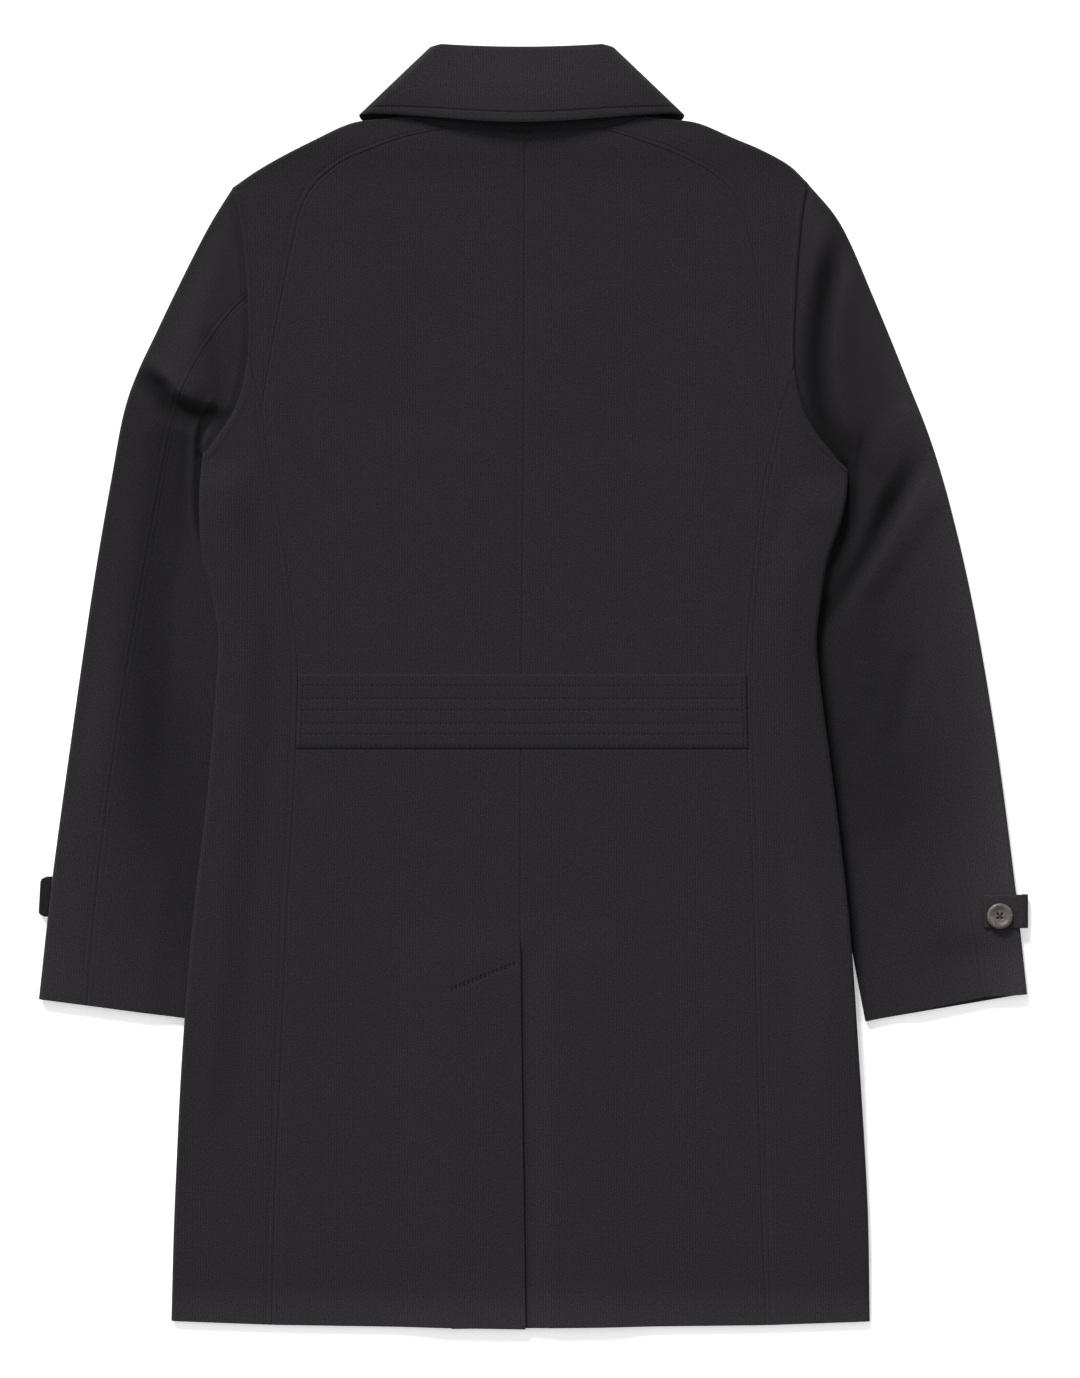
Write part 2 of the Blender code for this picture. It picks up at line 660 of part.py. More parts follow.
def collar_fall():
    """Fall of the collar: across the back, round both slanted folds and on to short wings below."""
    slant = Vector((FALL_TOP_HALF - FALL_LOW_HALF, FALL_TOP_Y - FALL_LOW_Y))
    inward = Vector((-slant.y, slant.x)).normalized()
    inward = inward if inward.x < 0 else -inward
    reach = FALL_FACE / 2
    low_corner = Vector((FALL_LOW_HALF, FALL_LOW_Y))

    def slanted(e):
        """Lower and upper end of a line at distance e inside the slanted fold."""
        low = low_corner + inward * e
        drop = FALL_CORNER_DROP * max(1 - e / reach, 0)
        high = low + slant * ((FALL_TOP_Y - drop - low.y) / slant.y)
        return low, high

    sections = []
    for e in (WING, reach):
        low, high = slanted(e)
        sections.append((low, high, 0, WALL, 0, 0))
    for angle in SLANT_TURN:
        turn = math.radians(angle)
        e = reach * (1 - math.cos(turn))
        e_inner = WALL + (reach - WALL) * (1 - math.cos(turn))
        low, high = slanted(e)
        z = reach + reach * math.sin(turn)
        z_inner = reach + (reach - WALL) * math.sin(turn)
        sections.append((low, high, z, z_inner, e_inner - e, max(math.sin(turn), 0)))
    flat_low, flat_high = slanted(reach)
    for t in FALL_SPREAD:
        low = Vector((flat_low.x * t, mix(FALL_EDGE_Y, flat_low.y, t * t)))
        high = Vector((flat_high.x * t, roll_line(COLLAR_X + flat_high.x * t)))
        sections.append((low, high, FALL_FACE, FALL_FACE - WALL, 0, 1))
    rolls = (QUARTER[0], QUARTER[1], seam_angle(0, 2 * STAND_ROLL))

    def wall_row(section, mirror):
        low, high, z, z_inner, step, rolled = section
        length = (high - low).length
        way = (high - low) / length
        middle = rolled * (1 - abs(low.x) / FALL_LOW_HALF)
        row = []
        for t in FALL_STOPS:
            crown = FALL_CROWN * math.sin(math.pi * t) * rolled + FALL_EDGE_LIFT * middle * (1 - t)
            p = low.lerp(high, t)
            row.append((lift(p, z + crown), lift(p + inward * step, z_inner + crown)))
        for angle in rolls:
            back = STAND_ROLL * (1 - math.cos(angle)) * rolled
            back_inner = (WALL + (STAND_ROLL - WALL) * (1 - math.cos(angle))) * rolled
            drop = STAND_ROLL * (1 - math.sin(angle)) * rolled
            drop_inner = (STAND_ROLL - WALL - inner_height(STAND_ROLL, angle)) * rolled
            outer = lift(high - way * (back + (1 - rolled) * STAND_ROLL * (1 - math.cos(angle))), z - drop)
            inner_spot = high - way * (back_inner + (1 - rolled) * STAND_ROLL * (1 - math.cos(angle)))
            row.append((outer, lift(inner_spot + inward * step, z_inner - drop_inner)))
        return [tuple(Vector((COLLAR_X + mirror * p.x, p.y, p.z)) for p in pair) for pair in row]

    pairs = [wall_row(s, -1) for s in sections] + [wall_row(s, 1) for s in reversed(sections)]
    wall("collar_fall", pairs)


def collar_stand():
    """Stand of the collar, from the neck seam up under the fall to the roll."""
    left_end, right_end = Vector(SHOULDER["left"][-1]), Vector(SHOULDER["right"][-1])
    left_neck, right_neck = Vector(YOKE_SEAM["left"][-1]), Vector(YOKE_SEAM["right"][-1])
    middle = Vector(NECK_CENTRE)
    lows = [left_end, left_neck, left_neck.lerp(middle, 0.5), middle]
    lows += [middle.lerp(right_neck, 0.5), right_neck, right_end]
    face = NECK_LIFT + BODY_LOFT
    pairs = []
    for k, low in enumerate(lows):
        x = COLLAR_X + STAND_HALF * (2 * k / (len(lows) - 1) - 1)
        high = Vector((x, roll_line(x)))
        way = (high - low).normalized()
        row = [flat_pair(low.lerp(high, t), face - WALL, face) for t in STAND_STOPS]
        for angle in (QUARTER[0], QUARTER[1], seam_angle(0, 2 * STAND_ROLL)):
            out = high - way * STAND_ROLL * (1 - math.cos(angle))
            inside = high - way * (WALL + (STAND_ROLL - WALL) * (1 - math.cos(angle)))
            middle_z = FALL_FACE - STAND_ROLL
            row.append((lift(out, middle_z - STAND_ROLL * math.sin(angle)),
                        lift(inside, middle_z - inner_height(STAND_ROLL, angle))))
        pairs.append(row)
    wall("collar_stand", inset(pairs, False, False, True, False))


def half_belt():
    """Half belt across the back waist, moved out from the back's face."""
    pairs = []
    for t in HALVES:
        y = mix(BELT_BOTTOM, BELT_TOP, t)
        left = Vector((side_seam("left", y), y))
        right = Vector((side_seam("right", y), y))
        row = [left.lerp(right, k / BELT_COLUMNS) for k in range(BELT_COLUMNS + 1)]
        below = [body_high("left", p) + SEAM_GAP for p in row]
        pairs.append([flat_pair(p, z + BELT_THICK, z) for p, z in zip(row, below)])
    wall("half_belt", inset(pairs, False, False, True, True))


def sleeve_edge(side, y):
    """Outer edge of the sleeve near the cuff, at height y."""
    low, high = SLEEVE[side][0], SLEEVE[side][1]
    return mix(low[0], high[0], (y - low[1]) / (high[1] - low[1]))


def loop_row(y, inner_x, outer_x, top, closed_end):
    """One section of a tab: a top leg, a round turn and, if closed, a lower leg back to the same place."""
    way = 1 if outer_x > inner_x else -1
    radius = top / 2
    turn_x = outer_x - way * radius
    inside = radius - TAB_WALL
    row = [(Vector((inner_x, y, top)), Vector((inner_x, y, top - TAB_WALL)))]
    for degrees in TAB_TURN:
        across = way * math.cos(math.radians(degrees))
        up = math.sin(math.radians(degrees))
        row.append((Vector((turn_x + radius * across, y, radius + radius * up)),
                    Vector((turn_x + inside * across, y, radius + inside * up))))
    if closed_end:
        row.append((Vector((inner_x, y, 0)), Vector((inner_x, y, TAB_WALL))))
    return row


def cuff_tabs():
    """Strap tabs at the outer edge of each cuff: the right one lies over the sleeve's face."""
    tab_top = BODY_LOFT + SEAM_GAP + TAB_WALL
    pairs = []
    for t in HALVES:
        y = mix(TAB_RIGHT_LOW_Y, TAB_RIGHT_HIGH_Y, t)
        pairs.append(loop_row(y, TAB_RIGHT_INNER_X, TAB_RIGHT_OUTER_X, tab_top, False))
    wall("cuff_tab_right", pairs)
    pairs = []
    for t in HALVES:
        y = mix(TAB_LEFT_LOW_Y, TAB_LEFT_HIGH_Y, t)
        inner_x = sleeve_edge("left", y) - 2 * SEAM_GAP
        pairs.append(loop_row(y, inner_x, TAB_LEFT_OUTER_X, TAB_LEFT_TOP, True))
    wall("cuff_tab_left", pairs)
    return tab_top


def cuff_button(seat):
    """Four-hole button, turned from its profile."""
    form = bmesh.new()
    points = [form.verts.new(Vector((r, 0, z)) * MM) for r, z in BUTTON_PROFILE]
    for a, b in zip(points, points[1:]):
        form.edges.new((a, b))
    mesh = bpy.data.meshes.new("cuff_button_right")
    form.to_mesh(mesh)
    form.free()
    button = add_part("cuff_button_right", mesh, BUTTON_COLOUR, BUTTON_ROUGHNESS)
    button.location = Vector((BUTTON_X, BUTTON_Y, seat + SEAM_GAP)) * MM
    turn = button.modifiers.new("turn", "SCREW")
    turn.steps = BUTTON_STEPS
    turn.render_steps = BUTTON_STEPS
    turn.use_merge_vertices = True
    turn.merge_threshold = MERGE
    for k in range(BUTTON_HOLES):
        angle = math.tau * (k + 0.5) / BUTTON_HOLES
        offset = Vector((math.cos(angle), math.sin(angle), 0)) * BUTTON_HOLE_OFFSET * MM
        form = bmesh.new()
        bmesh.ops.create_cone(form, cap_ends=True, segments=HOLE_SIDES, radius1=BUTTON_HOLE * MM,
                              radius2=BUTTON_HOLE * MM, depth=HOLE_DEPTH * MM)
        mesh = bpy.data.meshes.new("button_hole")
        form.to_mesh(mesh)
        form.free()
        cutter = bpy.data.objects.new("button_hole", mesh)
        cutter.location = button.location + offset
        cutter.hide_render = True
        cutter.display_type = "WIRE"
        cutters.objects.link(cutter)
        hole = button.modifiers.new("hole", "BOOLEAN")
        hole.operation = "DIFFERENCE"
        hole.object = cutter


for old in list(bpy.data.objects):
    bpy.data.objects.remove(old)
parts = bpy.data.collections.new("overcoat")
cutters = bpy.data.collections.new("cutters")
bpy.context.scene.collection.children.link(parts)
bpy.context.scene.collection.children.link(cutters)

for side in ("left", "right"):
    back_panel(side)
    side_back_panel(side)
    yoke_panel(side)
    front_panel(side)
    sleeve_panels(side)
collar_fall()
collar_stand()
half_belt()
cuff_button(cuff_tabs())
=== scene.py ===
"""Looks of a wool overcoat laid flat, back up: cloth panels, creases, seams, stitching and a horn button.

The cut's tables follow the part's source and are in millimetres; the finished pieces are in metres.
"""

import math

import bmesh
import bpy
from mathutils import Matrix, Vector
from mathutils.geometry import intersect_point_line


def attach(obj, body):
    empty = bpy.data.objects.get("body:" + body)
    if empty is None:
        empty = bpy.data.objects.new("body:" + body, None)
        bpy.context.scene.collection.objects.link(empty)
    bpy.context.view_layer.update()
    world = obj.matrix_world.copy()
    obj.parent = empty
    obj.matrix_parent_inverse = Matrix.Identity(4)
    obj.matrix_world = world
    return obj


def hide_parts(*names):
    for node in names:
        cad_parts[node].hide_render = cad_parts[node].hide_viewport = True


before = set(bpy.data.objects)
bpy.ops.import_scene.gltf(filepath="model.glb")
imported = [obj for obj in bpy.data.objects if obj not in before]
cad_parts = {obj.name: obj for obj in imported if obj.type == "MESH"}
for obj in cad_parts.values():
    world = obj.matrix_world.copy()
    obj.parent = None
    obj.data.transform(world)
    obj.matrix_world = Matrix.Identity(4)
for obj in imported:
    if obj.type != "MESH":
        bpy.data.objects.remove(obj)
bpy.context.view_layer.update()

# Cloth and seams
MM = 0.001
WALL = 1.6
SEAM_GAP = 0.3
SEAM_INSET = -0.06
EDGE_ROUND = 0.45
SHARP_EDGE = math.radians(55)
LAYER = 2.1
WELT_ROLL = 0.5
WELT_ROLL_WIDTH = 1.4
WELT_STITCH = 4.3
STITCH_GROOVE_WIDTH = 1.1
SEAM_DEPTH = 0.6
SEAM_WIDTH = 1.6
ARMHOLE_ROLL = 0.4
ARMHOLE_ROLL_WIDTH = 4
WELT_DEPTH = {"back": 0.15, "centre": 0.3, "side_back": 0.5, "yoke": 0.35, "sleeve": 0.3}

# Stitches: pitch, length and width
BELT_STITCH = (3.6, 2.2, 0.7)
COLLAR_STITCH = (3.1, 2.4, 0.62)
VENT_STITCH = (3.2, 2.1, 0.9)
BUTTON_STITCH = (6, 6.0, 0.8)

# Heights of the layers of the body
BODY_LOFT = 7.4
VENT_EXTRA = 1.0
HEM_PRESS = 2.0
HEM_Y = -508
HEM_DIP = 6
HEM_DIP_LENGTH = 68
HALF_HEM = 280
HEM_PRESS_LENGTH = 60
NECK_LIFT = 2.4
NECK_LIFT_START = 404
NECK_LIFT_LENGTH = 36

# Centre back vent, left over right
VENT_TOP = -220
VENT_SLANT_END = -242
UNDERLAP = 59
VENT_DROP_LENGTH = 25
VENT_CLEAR = 2
VENT_REACH = 55
VENT_SWELL_LENGTH = 40
VENT_SEWN_FADE = 12
VENT_STITCH_START = Vector((-68.8, -242.4))
VENT_STITCH_END = Vector((-12.8, -220))
VENT_STITCH_OFFSET = 1.0
VENT_GROOVE = 0.3
VENT_GROOVE_WIDTH = 3

# Sleeve under the side of the body
TUCK_RISE = 5.3
TUCK_FLAT = 20
TUCK_RAMP = 32
TUCK_START = 34
TUCK_END_Y = -400
TUCK_END_LENGTH = 125
TUCKED_TOP = 4.8
TUCKED_RAMP = 28
TUCK_LAST_SECTION = 5.6
SLEEVE_CROWN = {"left": 5.2, "right": 7.0}
CROWN_RUN = 36
CROWN_INNER_RUN = {"left": 56, "right": 36}
CROWN_START = 1.05
CROWN_GROWTH = 1.2
ARMHOLE_RUN = {"left": 45, "right": 24}
ARMHOLE_DROP = 1.5
ARMHOLE_DROP_WIDTH = 7
SLEEVE_LOWEST = 3.5

# Fronts
FRONT_OVERLAP = 25
STRIP_END = FRONT_OVERLAP * 2 + 2
NEAR_PLACKET = (0, STRIP_END, STRIP_END + 18)
NEAR_SIDE = (52, 36, 20, 10)
FRONT_NECK_Y = 361
FRONT_FULL_WIDTH = 230
FRONT_NECK_SAG = 8
FRONT_NECK_END = 0.95
FRONT_TIP_ROW_Y = 326

# Collar
COLLAR_X = -9
FALL_LOW_HALF = 130.3
FALL_TOP_HALF = 71
FALL_LOW_Y = 458
FALL_TOP_Y = 514.6
FALL_EDGE_Y = 450.3
FALL_EDGE_RUN = 125
FALL_TOP_DIP = 2.6
FALL_CORNER_DROP = 2.5
FALL_FACE = 12.4
FALL_CROWN = 1.6
FALL_EDGE_LIFT = 7.6
FALL_STITCH = 8
FALL_WALL = 1.8
FALL_TURN = math.radians(80)
COLLAR_STITCH_RISE = 0.12
FALL_EDGE_ROLL = 0.6
FALL_EDGE_ROLL_WIDTH = 2
FALL_STITCH_GROOVE = 0.55
FALL_STOPS = (0, 0.5, 1.1, 2, 3.2, 4.6, 6, 7, 7.6, FALL_STITCH, 8.4, 9, 10, 12)
FALL_PLAIN_START = 14
WING = 20
WING_DROP = Vector((0, -5.5))
WING_ROLL_END = 0.08
FALL_ROLL_END = math.radians(-85.5)
STAND_HALF = 60
STAND_ROLL = 2.2
STAND_DIP = 2.2
STAND_TUCK = 2
STAND_WALL = 1.4
STAND_SHARE = 0.9

# Half belt, cuff tabs and button
BELT_TOP = 10.4
BELT_BOTTOM = -48.8
BELT_RISE = 1.3
BELT_WALL = 1.2
BELT_ROWS = (1.2, -9.2, -18.4, -28.8, -37.6, -47.0)
BELT_END_STITCH = 3.4
BELT_GROOVE = 0.2
BELT_GROOVE_WIDTH = 1.3
BELT_END_GROOVE_WIDTH = 1.2
BELT_EDGE_ROLL = 0.5
BELT_EDGE_ROLL_WIDTH = 1.6
STITCH_SINK = 0.15
TAB_WALL = 1.6
TAB_LEFT_WALL = 1.4
TAB_EDGE_WIDTH = 1.5
TAB_EDGE_ROLL = {"left": 0.3, "right": 0.4}
TAB_STITCH = 3.5
TAB_ROWS = 18
TAB_GROOVE = 0.25
TAB_GROOVE_WIDTH = 1.2
TAB_RIGHT = (-193, -166, 361, 396.6)
TAB_LEFT = (-184, -152, -396.6, 4.8)
TAB_LEFT_TAPER = 1.8
TAB_LEFT_CORNER = 4.5
# Painted light on the right tab and painted shade on the left one, which lies in shadow at the cuff's edge
TAB_PAINTED_LIGHT_AND_SHADE = {"left": 0.66, "right": 1.35}
BUTTON = (373, -183)
BUTTON_PROFILE = (
    (0, 1.9), (4.4, 1.9), (6.2, 2.2), (7.2, 3.0), (8.4, 3.25),
    (9.6, 2.9), (10.3, 2.0), (10.2, 1.0), (9.2, 0.1), (0, 0.1),
)
BUTTON_HOLES = 4
HOLE_CIRCLE = 2.2
HOLE_RADIUS = 0.95
DRILL_LENGTH = 14
SORT_WAY = Vector((1, 7.3, 53))
THREAD_REACH = 2.0
THREAD_HEIGHT = 2.0

# Body sections: y, left edge, left seam, right seam, right edge
BODY = (
    (HEM_Y, -290, -209, 187, 270),
    (-410, -287, -206.5, 183, 268),
    (-298, -281, -201.5, 180, 261),
    (-186, -272, -197, 177.5, 253),
    (-90, -261, -191.5, 173.5, 242),
    (6, -253, -188, 170.5, 229.5),
    (38, -251.5, -190, 172, 227),
    (70, -256, -193.5, 174.5, 230.5),
    (102, -264, -197.5, 177.5, 236),
    (134, -267, -202.5, 181, 247),
    (166, -266.5, -209, 185.5, 252.5),
    (198, -264, -214.3, 193.2, 252),
)
CENTRE = ((HEM_Y, -6), (-410, -7.5), (-220, -10), (-90, -10), (38, -9), (166, -7.5), (443, -6.4))
ARMHOLE = {
    "left": ((-240.8, 400), (-235.5, 377.5), (-231.5, 349.5), (-228.4, 312.8),
             (-228, 269.6), (-236.8, 227), (-256.8, 195), (-264.8, 185.6)),
    "right": ((220, 404), (216, 380), (212.8, 349.6), (210.4, 311.2),
              (209.2, 260), (218.4, 217.6), (240.8, 185.6), (252.8, 173.6)),
}
TIP_NEAR = 0.25
ELBOW_STATION = 3
JOIN_STATION = 4
UNDERARM_NEAR = 6.6
LAST_STATION = 7
ARM_STEP = 0.1
JOIN_EDGE = {"left": (-265.8, 177), "right": (252.9, 170)}
YOKE_SEAM = {
    "left": ((-217.6, 223), (-206.4, 285.6), (-200, 317.6), (-194.4, 345.6),
             (-190.4, 364), (-187.2, 377.6), (-180.8, 392.8), (-169.6, 407),
             (-150.4, 421), (-126.4, 431), (-98.4, 440.8), (-69.6, 446.4)),
    "right": ((197.6, 221.6), (186.4, 285.6), (182.4, 317.6), (176.8, 345.6),
              (172.8, 362.4), (168.8, 376), (160.8, 392.8), (148.8, 406.4),
              (128.8, 419), (104.8, 429.6), (79, 439), (57.6, 445.6)),
}
YOKE_BORDER = (4, 3, 2, 1, 0.25, 0)
SHOULDER = {
    "left": ((-240.8, 400), (-222, 413), (-200, 425.5), (-176, 437.5),
             (-152, 449), (-135, 453.5), (-108, 456)),
    "right": ((220, 404), (205, 418), (183, 430), (160, 439.7),
              (135, 450.5), (118, 453.8), (92, 456.5)),
}
NECK_CENTRE = (-6.4, 443.2)

# Sleeve sections from the cuff to the armhole: outer x, y, elbow seam x, y, inner x, y
SLEEVE = {
    "left": (
        (-396, -250, -357, -255, -266.4, -267),
        (-385.6, -156, -348.4, -156, -252.6, -160),
        (-370.4, -44, -332, -34, -240.5, -44),
        (-353.6, 73.6, -312.8, 81.6, -239, 60),
        (-338.4, 164, -297.6, 165.6, -262, 116),
        (-324.8, 231, -284.8, 223, -266.2, 156),
        (-300, 288, -268, 261, -265.5, 173),
        (-264, 361, -243, 297.6, -264.8, 181.5),
        (-240.8, 400, -228.4, 312.8, -264.8, 185.6),
    ),
    "right": (
        (396, -246, 361.6, -248, 266.4, -268),
        (386, -156, 347.6, -158, 245.5, -160),
        (369.6, -33, 328.8, -38, 221, -47),
        (348.8, 84, 304.5, 71, 213, 60),
        (324, 181.6, 287, 152, 238, 112),
        (298.4, 249.6, 273, 212, 249.4, 147),
        (271.2, 316, 258, 259, 251.6, 161),
        (247, 370, 232, 294, 252.3, 169.3),
        (220, 404, 210.4, 311.2, 252.8, 173.6),
    ),
}
LAST_SECTION = 8
ARMHOLE_SECTION = 3.6
ARMHOLE_FADE = 1.8
BOW_START = 6.5
PINCH_START = 5
DEEPER_START = 3
GATHER_START = 4.6
OUTER_SWING = 7
INNER_SWING = 5.6
UNDERARM_TUCK = 9
FOLD_PINCH = 0.5
SECTION_STEP = 0.2
CUFF_STEP = 0.012
ELBOW_SEAM_SHOWN = {"left": 1, "right": 0.45}
UNDER_SEAM_SHARE = 0.75

# Ridges and troughs: width to the left and to the right of the run, height or share of the depth, points
SLEEVE_RIDGES = (
    (20, 12, 2.0, (-318, 256), (-300, 248), (-284, 238), (-262, 230)),
    (12, 18, 0.5, (-312, 214), (-290, 206), (-272, 200)),
    (24, 24, 1.2, (-300, 120), (-312, 20), (-318, -60)),
    (14, 18, 1.6, (262, 345), (250, 300), (246, 262), (252, 225), (268, 196)),
    (18, 22, 2.4, (332, 168), (306, 134), (286, 106), (260, 70)),
    (18, 18, 1.4, (268, 170), (284, 196), (304, 226)),
)
SLEEVE_TROUGHS = (
    (12, 18, 0.95, (-319, 257), (-299, 239.5), (-292, 230), (-284, 223.5), (-272, 218.5), (-256, 216),
     (-240, 214)),
    (11, 11, 0.15, (-262.4, 290), (-253, 258), (-249, 234), (-250, 208)),
    (6, 6, 0.9, (-254, 226), (-265, 206), (-268.5, 180), (-268.5, 145), (-264, 110)),
    (14, 20, 0.95, (252, 380), (240, 338), (234, 310), (229.5, 280), (228.5, 250), (232, 216), (241, 194),
     (252, 172), (252, 140), (244, 108), (231, 80)),
    (13, 18, 0.76, (322, 203), (267, 107), (252, 84), (239, 64), (219, 40)),
    (8, 17, 1.0, (237, 78), (230, 57), (229, 38), (231.5, 6), (243, -85), (255, -186), (264, -290)),
    (16, 16, 0.12, (305.6, 30), (296, -10), (285.6, -50)),
    (16, 16, 0.1, (271, 0), (253.6, -50)),
)
BACK_SWELLS = (
    (60, 60, -0.7, (-85, 330), (-82, 262), (-92, 190)),
    (60, 60, -0.7, (100, 320), (102, 245), (96, 180)),
    (45, 45, 0.5, (-150, 330), (-140, 230)),
    (45, 45, 0.5, (20, 320), (15, 200)),
    (16, 16, -1.0, (226, 138), (206, 98)),
    (60, 60, -0.4, (-120, -120), (-110, -320)),
    (60, 60, -0.4, (95, -110), (90, -330)),
)

# Painted light and shade on the sleeves: section, then the colour factor at the outer edge, painted light,
# and at the inner edge, painted shade
SLEEVE_PAINTED_LIGHT_AND_SHADE = {
    "left": ((0, 1.4, 1.0), (0.9, 1.24, 0.86), (2.4, 1.04, 0.98), (4.9, 1.02, 1.04), (5.6, 1.1, 0.94),
             (LAST_SECTION, 1.06, 0.96)),
    "right": ((0, 1.92, 0.98), (1, 1.82, 0.84), (1.8, 1.6, 0.68), (4.9, 1.38, 0.68), (5.7, 1.14, 0.76),
              (LAST_SECTION, 1.06, 0.8)),
}
PAINTED_LIGHT_FADE = 2.6
# Strokes of painted shade: width to the left and to the right of the run, share of the shade, points
PAINTED_SHADE_STROKES = (
    (48, 38, 0.38, (-299, -170), (-311, 40), (-305, 130), (-301, 180), (-297, 210), (-291, 242)),
    (24, 24, 0.2, (410, -200), (380, -202), (350, -205), (310, -210)),
)
SIDE_SHADE = {"left": 0.0, "right": 0.16}
SIDE_SHADE_WIDTH = 80
SIDE_SHADE_LOW = -195.2
SIDE_SHADE_RISE = 120
TROUGH_SHADE = 0.6
HEM_LIGHTENING = 0.36
HEM_LIGHTENING_LENGTH = 36
COLLAR_PAINTED_LIGHT = 0.2
COLLAR_PAINTED_LIGHT_LENGTH = 30

CREASE_END_RATE = 5
CREASE_END_SHARE = 0.2

# Floor and camera, in metres
FLOOR_HALF = 6
FLOOR_DROP = 0.0003
CAMERA_PLACE = (0.0056, -0.0016, 2.611)

QUARTER = math.radians(90)
SIGN = {"left": 1, "right": -1}
SIDES = ("left", "right")
EDGE_STEPS = (0, 0.5, 1.1, 2.0, 3.2, 4.0, 4.7, 5.6)
PANEL_STEPS = {
    "back": 80, "side_back": 22, "yoke": 12, "top_sleeve": 34, "under_sleeve": 60, "sleeve_underside": 30,
    "collar_stand": 10, "half_belt": 120,
}
FOLD_STEPS = 6
JOIN_STEPS = 8
UNDERARM_ROWS = 12
UP = Vector((0, 0, 1))


def ease(t):
    t = min(max(t, 0), 1)
    return t * t * (3 - 2 * t)


def mix(a, b, t):
    return a + (b - a) * t


def through(keys, rows):
    """A smooth function through rows of numbers, one row at each key."""
    last = len(keys) - 1

    def slope(k):
        low = max(k - 1, 0)
        high = min(k + 1, last)
        return [(b - a) / (keys[high] - keys[low]) for a, b in zip(rows[low], rows[high])]

    slopes = [slope(k) for k in range(last + 1)]

    def at(key):
        k = max(i for i in range(last) if i == 0 or keys[i] <= key)
        width = keys[k + 1] - keys[k]
        t = (key - keys[k]) / width
        rise = t * t * (3 - 2 * t)
        leave = t * (1 - t) * (1 - t) * width
        arrive = t * t * (t - 1) * width
        return [a + (b - a) * rise + m * leave + n * arrive
                for a, b, m, n in zip(rows[k], rows[k + 1], slopes[k], slopes[k + 1])]

    return at


def stations(rows):
    return through(range(len(rows)), rows)


def even(start, end, count):
    return [mix(start, end, k / count) for k in range(count + 1)]


body_at = through([row[0] for row in BODY], [row[1:] for row in BODY])
centre_at = through([row[0] for row in CENTRE], [row[1:] for row in CENTRE])
armhole_at = {side: stations(rows) for side, rows in ARMHOLE.items()}
yoke_at = {side: stations(rows) for side, rows in YOKE_SEAM.items()}
shoulder_at = {side: stations(rows) for side, rows in SHOULDER.items()}
sleeve_at = {side: stations(rows) for side, rows in SLEEVE.items()}
painted_light_and_shade_at = {side: through([row[0] for row in rows], [row[1:] for row in rows]) for side, rows in SLEEVE_PAINTED_LIGHT_AND_SHADE.items()}


def side_edge(side, y):
    return body_at(min(y, BODY[-1][0]))[0 if side == "left" else 3]


def side_seam(side, y):
    return body_at(min(y, BODY[-1][0]))[1 if side == "left" else 2]


def centre(y):
    return centre_at(y)[0]


def arm_point(side, station, shift=0):
    """Point of the armhole, moved towards the sleeve by shift."""
    before = Vector(armhole_at[side](max(station - ARM_STEP, 0)))
    after = Vector(armhole_at[side](min(station + ARM_STEP, LAST_STATION)))
    along = (after - before).normalized()
    outward = Vector((along.y, -along.x)) * SIGN[side]
    return Vector(armhole_at[side](station)) + outward * shift


def hem_point(x, y):
    """The hem dips a little towards the centre back, and the rows above it less and less."""
    fade = 1 - ease((y - HEM_Y) / HEM_DIP_LENGTH)
    return Vector((x, y - HEM_DIP * fade * (1 - ((x - centre(y)) / HALF_HEM) ** 2)))


def smooth_creases(table):
    """Each crease with its run of points smoothed, and the box that it stays in."""
    creases = []
    for left, right, height, *points in table:
        at = stations(points)
        last = len(points) - 1
        run = [Vector(at(k)) for k in even(0, last, last * 4)]
        reach = max(left, right)
        xs = [p.x for p in run]
        ys = [p.y for p in run]
        box = (min(xs) - reach, max(xs) + reach, min(ys) - reach, max(ys) + reach)
        creases.append((left, right, height, run, box))
    return creases


sleeve_ridges = smooth_creases(SLEEVE_RIDGES)
sleeve_troughs = smooth_creases(SLEEVE_TROUGHS)
back_swells = smooth_creases(BACK_SWELLS)
painted_shade_strokes = smooth_creases(PAINTED_SHADE_STROKES)


def crease(p, creases):
    """Height that creases add at a point, each one fading out at its ends."""
    total = 0
    for left, right, height, run, (x_low, x_high, y_low, y_high) in creases:
        if not (x_low < p.x < x_high and y_low < p.y < y_high):
            continue
        away = math.inf
        for k, (a, b) in enumerate(zip(run, run[1:])):
            span = b - a
            t = min(max((p - a).dot(span) / span.length_squared, 0), 1)
            offset = p - a - span * t
            if offset.length < away:
                away = offset.length
                along = (k + t) / (len(run) - 1)
                width = left if span.cross(offset) > 0 else right
        if away < width:
            fade = ease(min(along, 1 - along) * CREASE_END_RATE + CREASE_END_SHARE)
            total += height * fade * ease(1 - away / width)
    return total


def tuck_rise(side, p):
    """How far the sleeve under the side lifts the body."""
    inward = (p.x - side_edge(side, p.y)) * SIGN[side]
    across = 1 - ease((inward - TUCK_FLAT) / TUCK_RAMP)
    underarm = ARMHOLE[side][-1][1]
    along = ease((underarm - p.y) / TUCK_START) * ease((p.y - TUCK_END_Y) / TUCK_END_LENGTH)
    return TUCK_RISE * across * along


def neck_lift(p):
    return NECK_LIFT * ease((p.y - NECK_LIFT_START) / NECK_LIFT_LENGTH)


def near_vent(p):
    across = ease(2 - abs(p.x - centre(p.y)) / VENT_REACH)
    return across * ease((VENT_TOP + VENT_SWELL_LENGTH - p.y) / VENT_SWELL_LENGTH)


def body_low(side, p):
    return tuck_rise(side, p) + neck_lift(p)


def body_high(side, p):
    """The face of the back: lower at the hem, higher over the vent's two layers."""
    vent = near_vent(p)
    pressed = HEM_PRESS * ease((HEM_Y + HEM_PRESS_LENGTH - p.y) / HEM_PRESS_LENGTH) * (1 - vent)
    return body_low(side, p) + BODY_LOFT + VENT_EXTRA * vent - pressed + crease(p, back_swells)


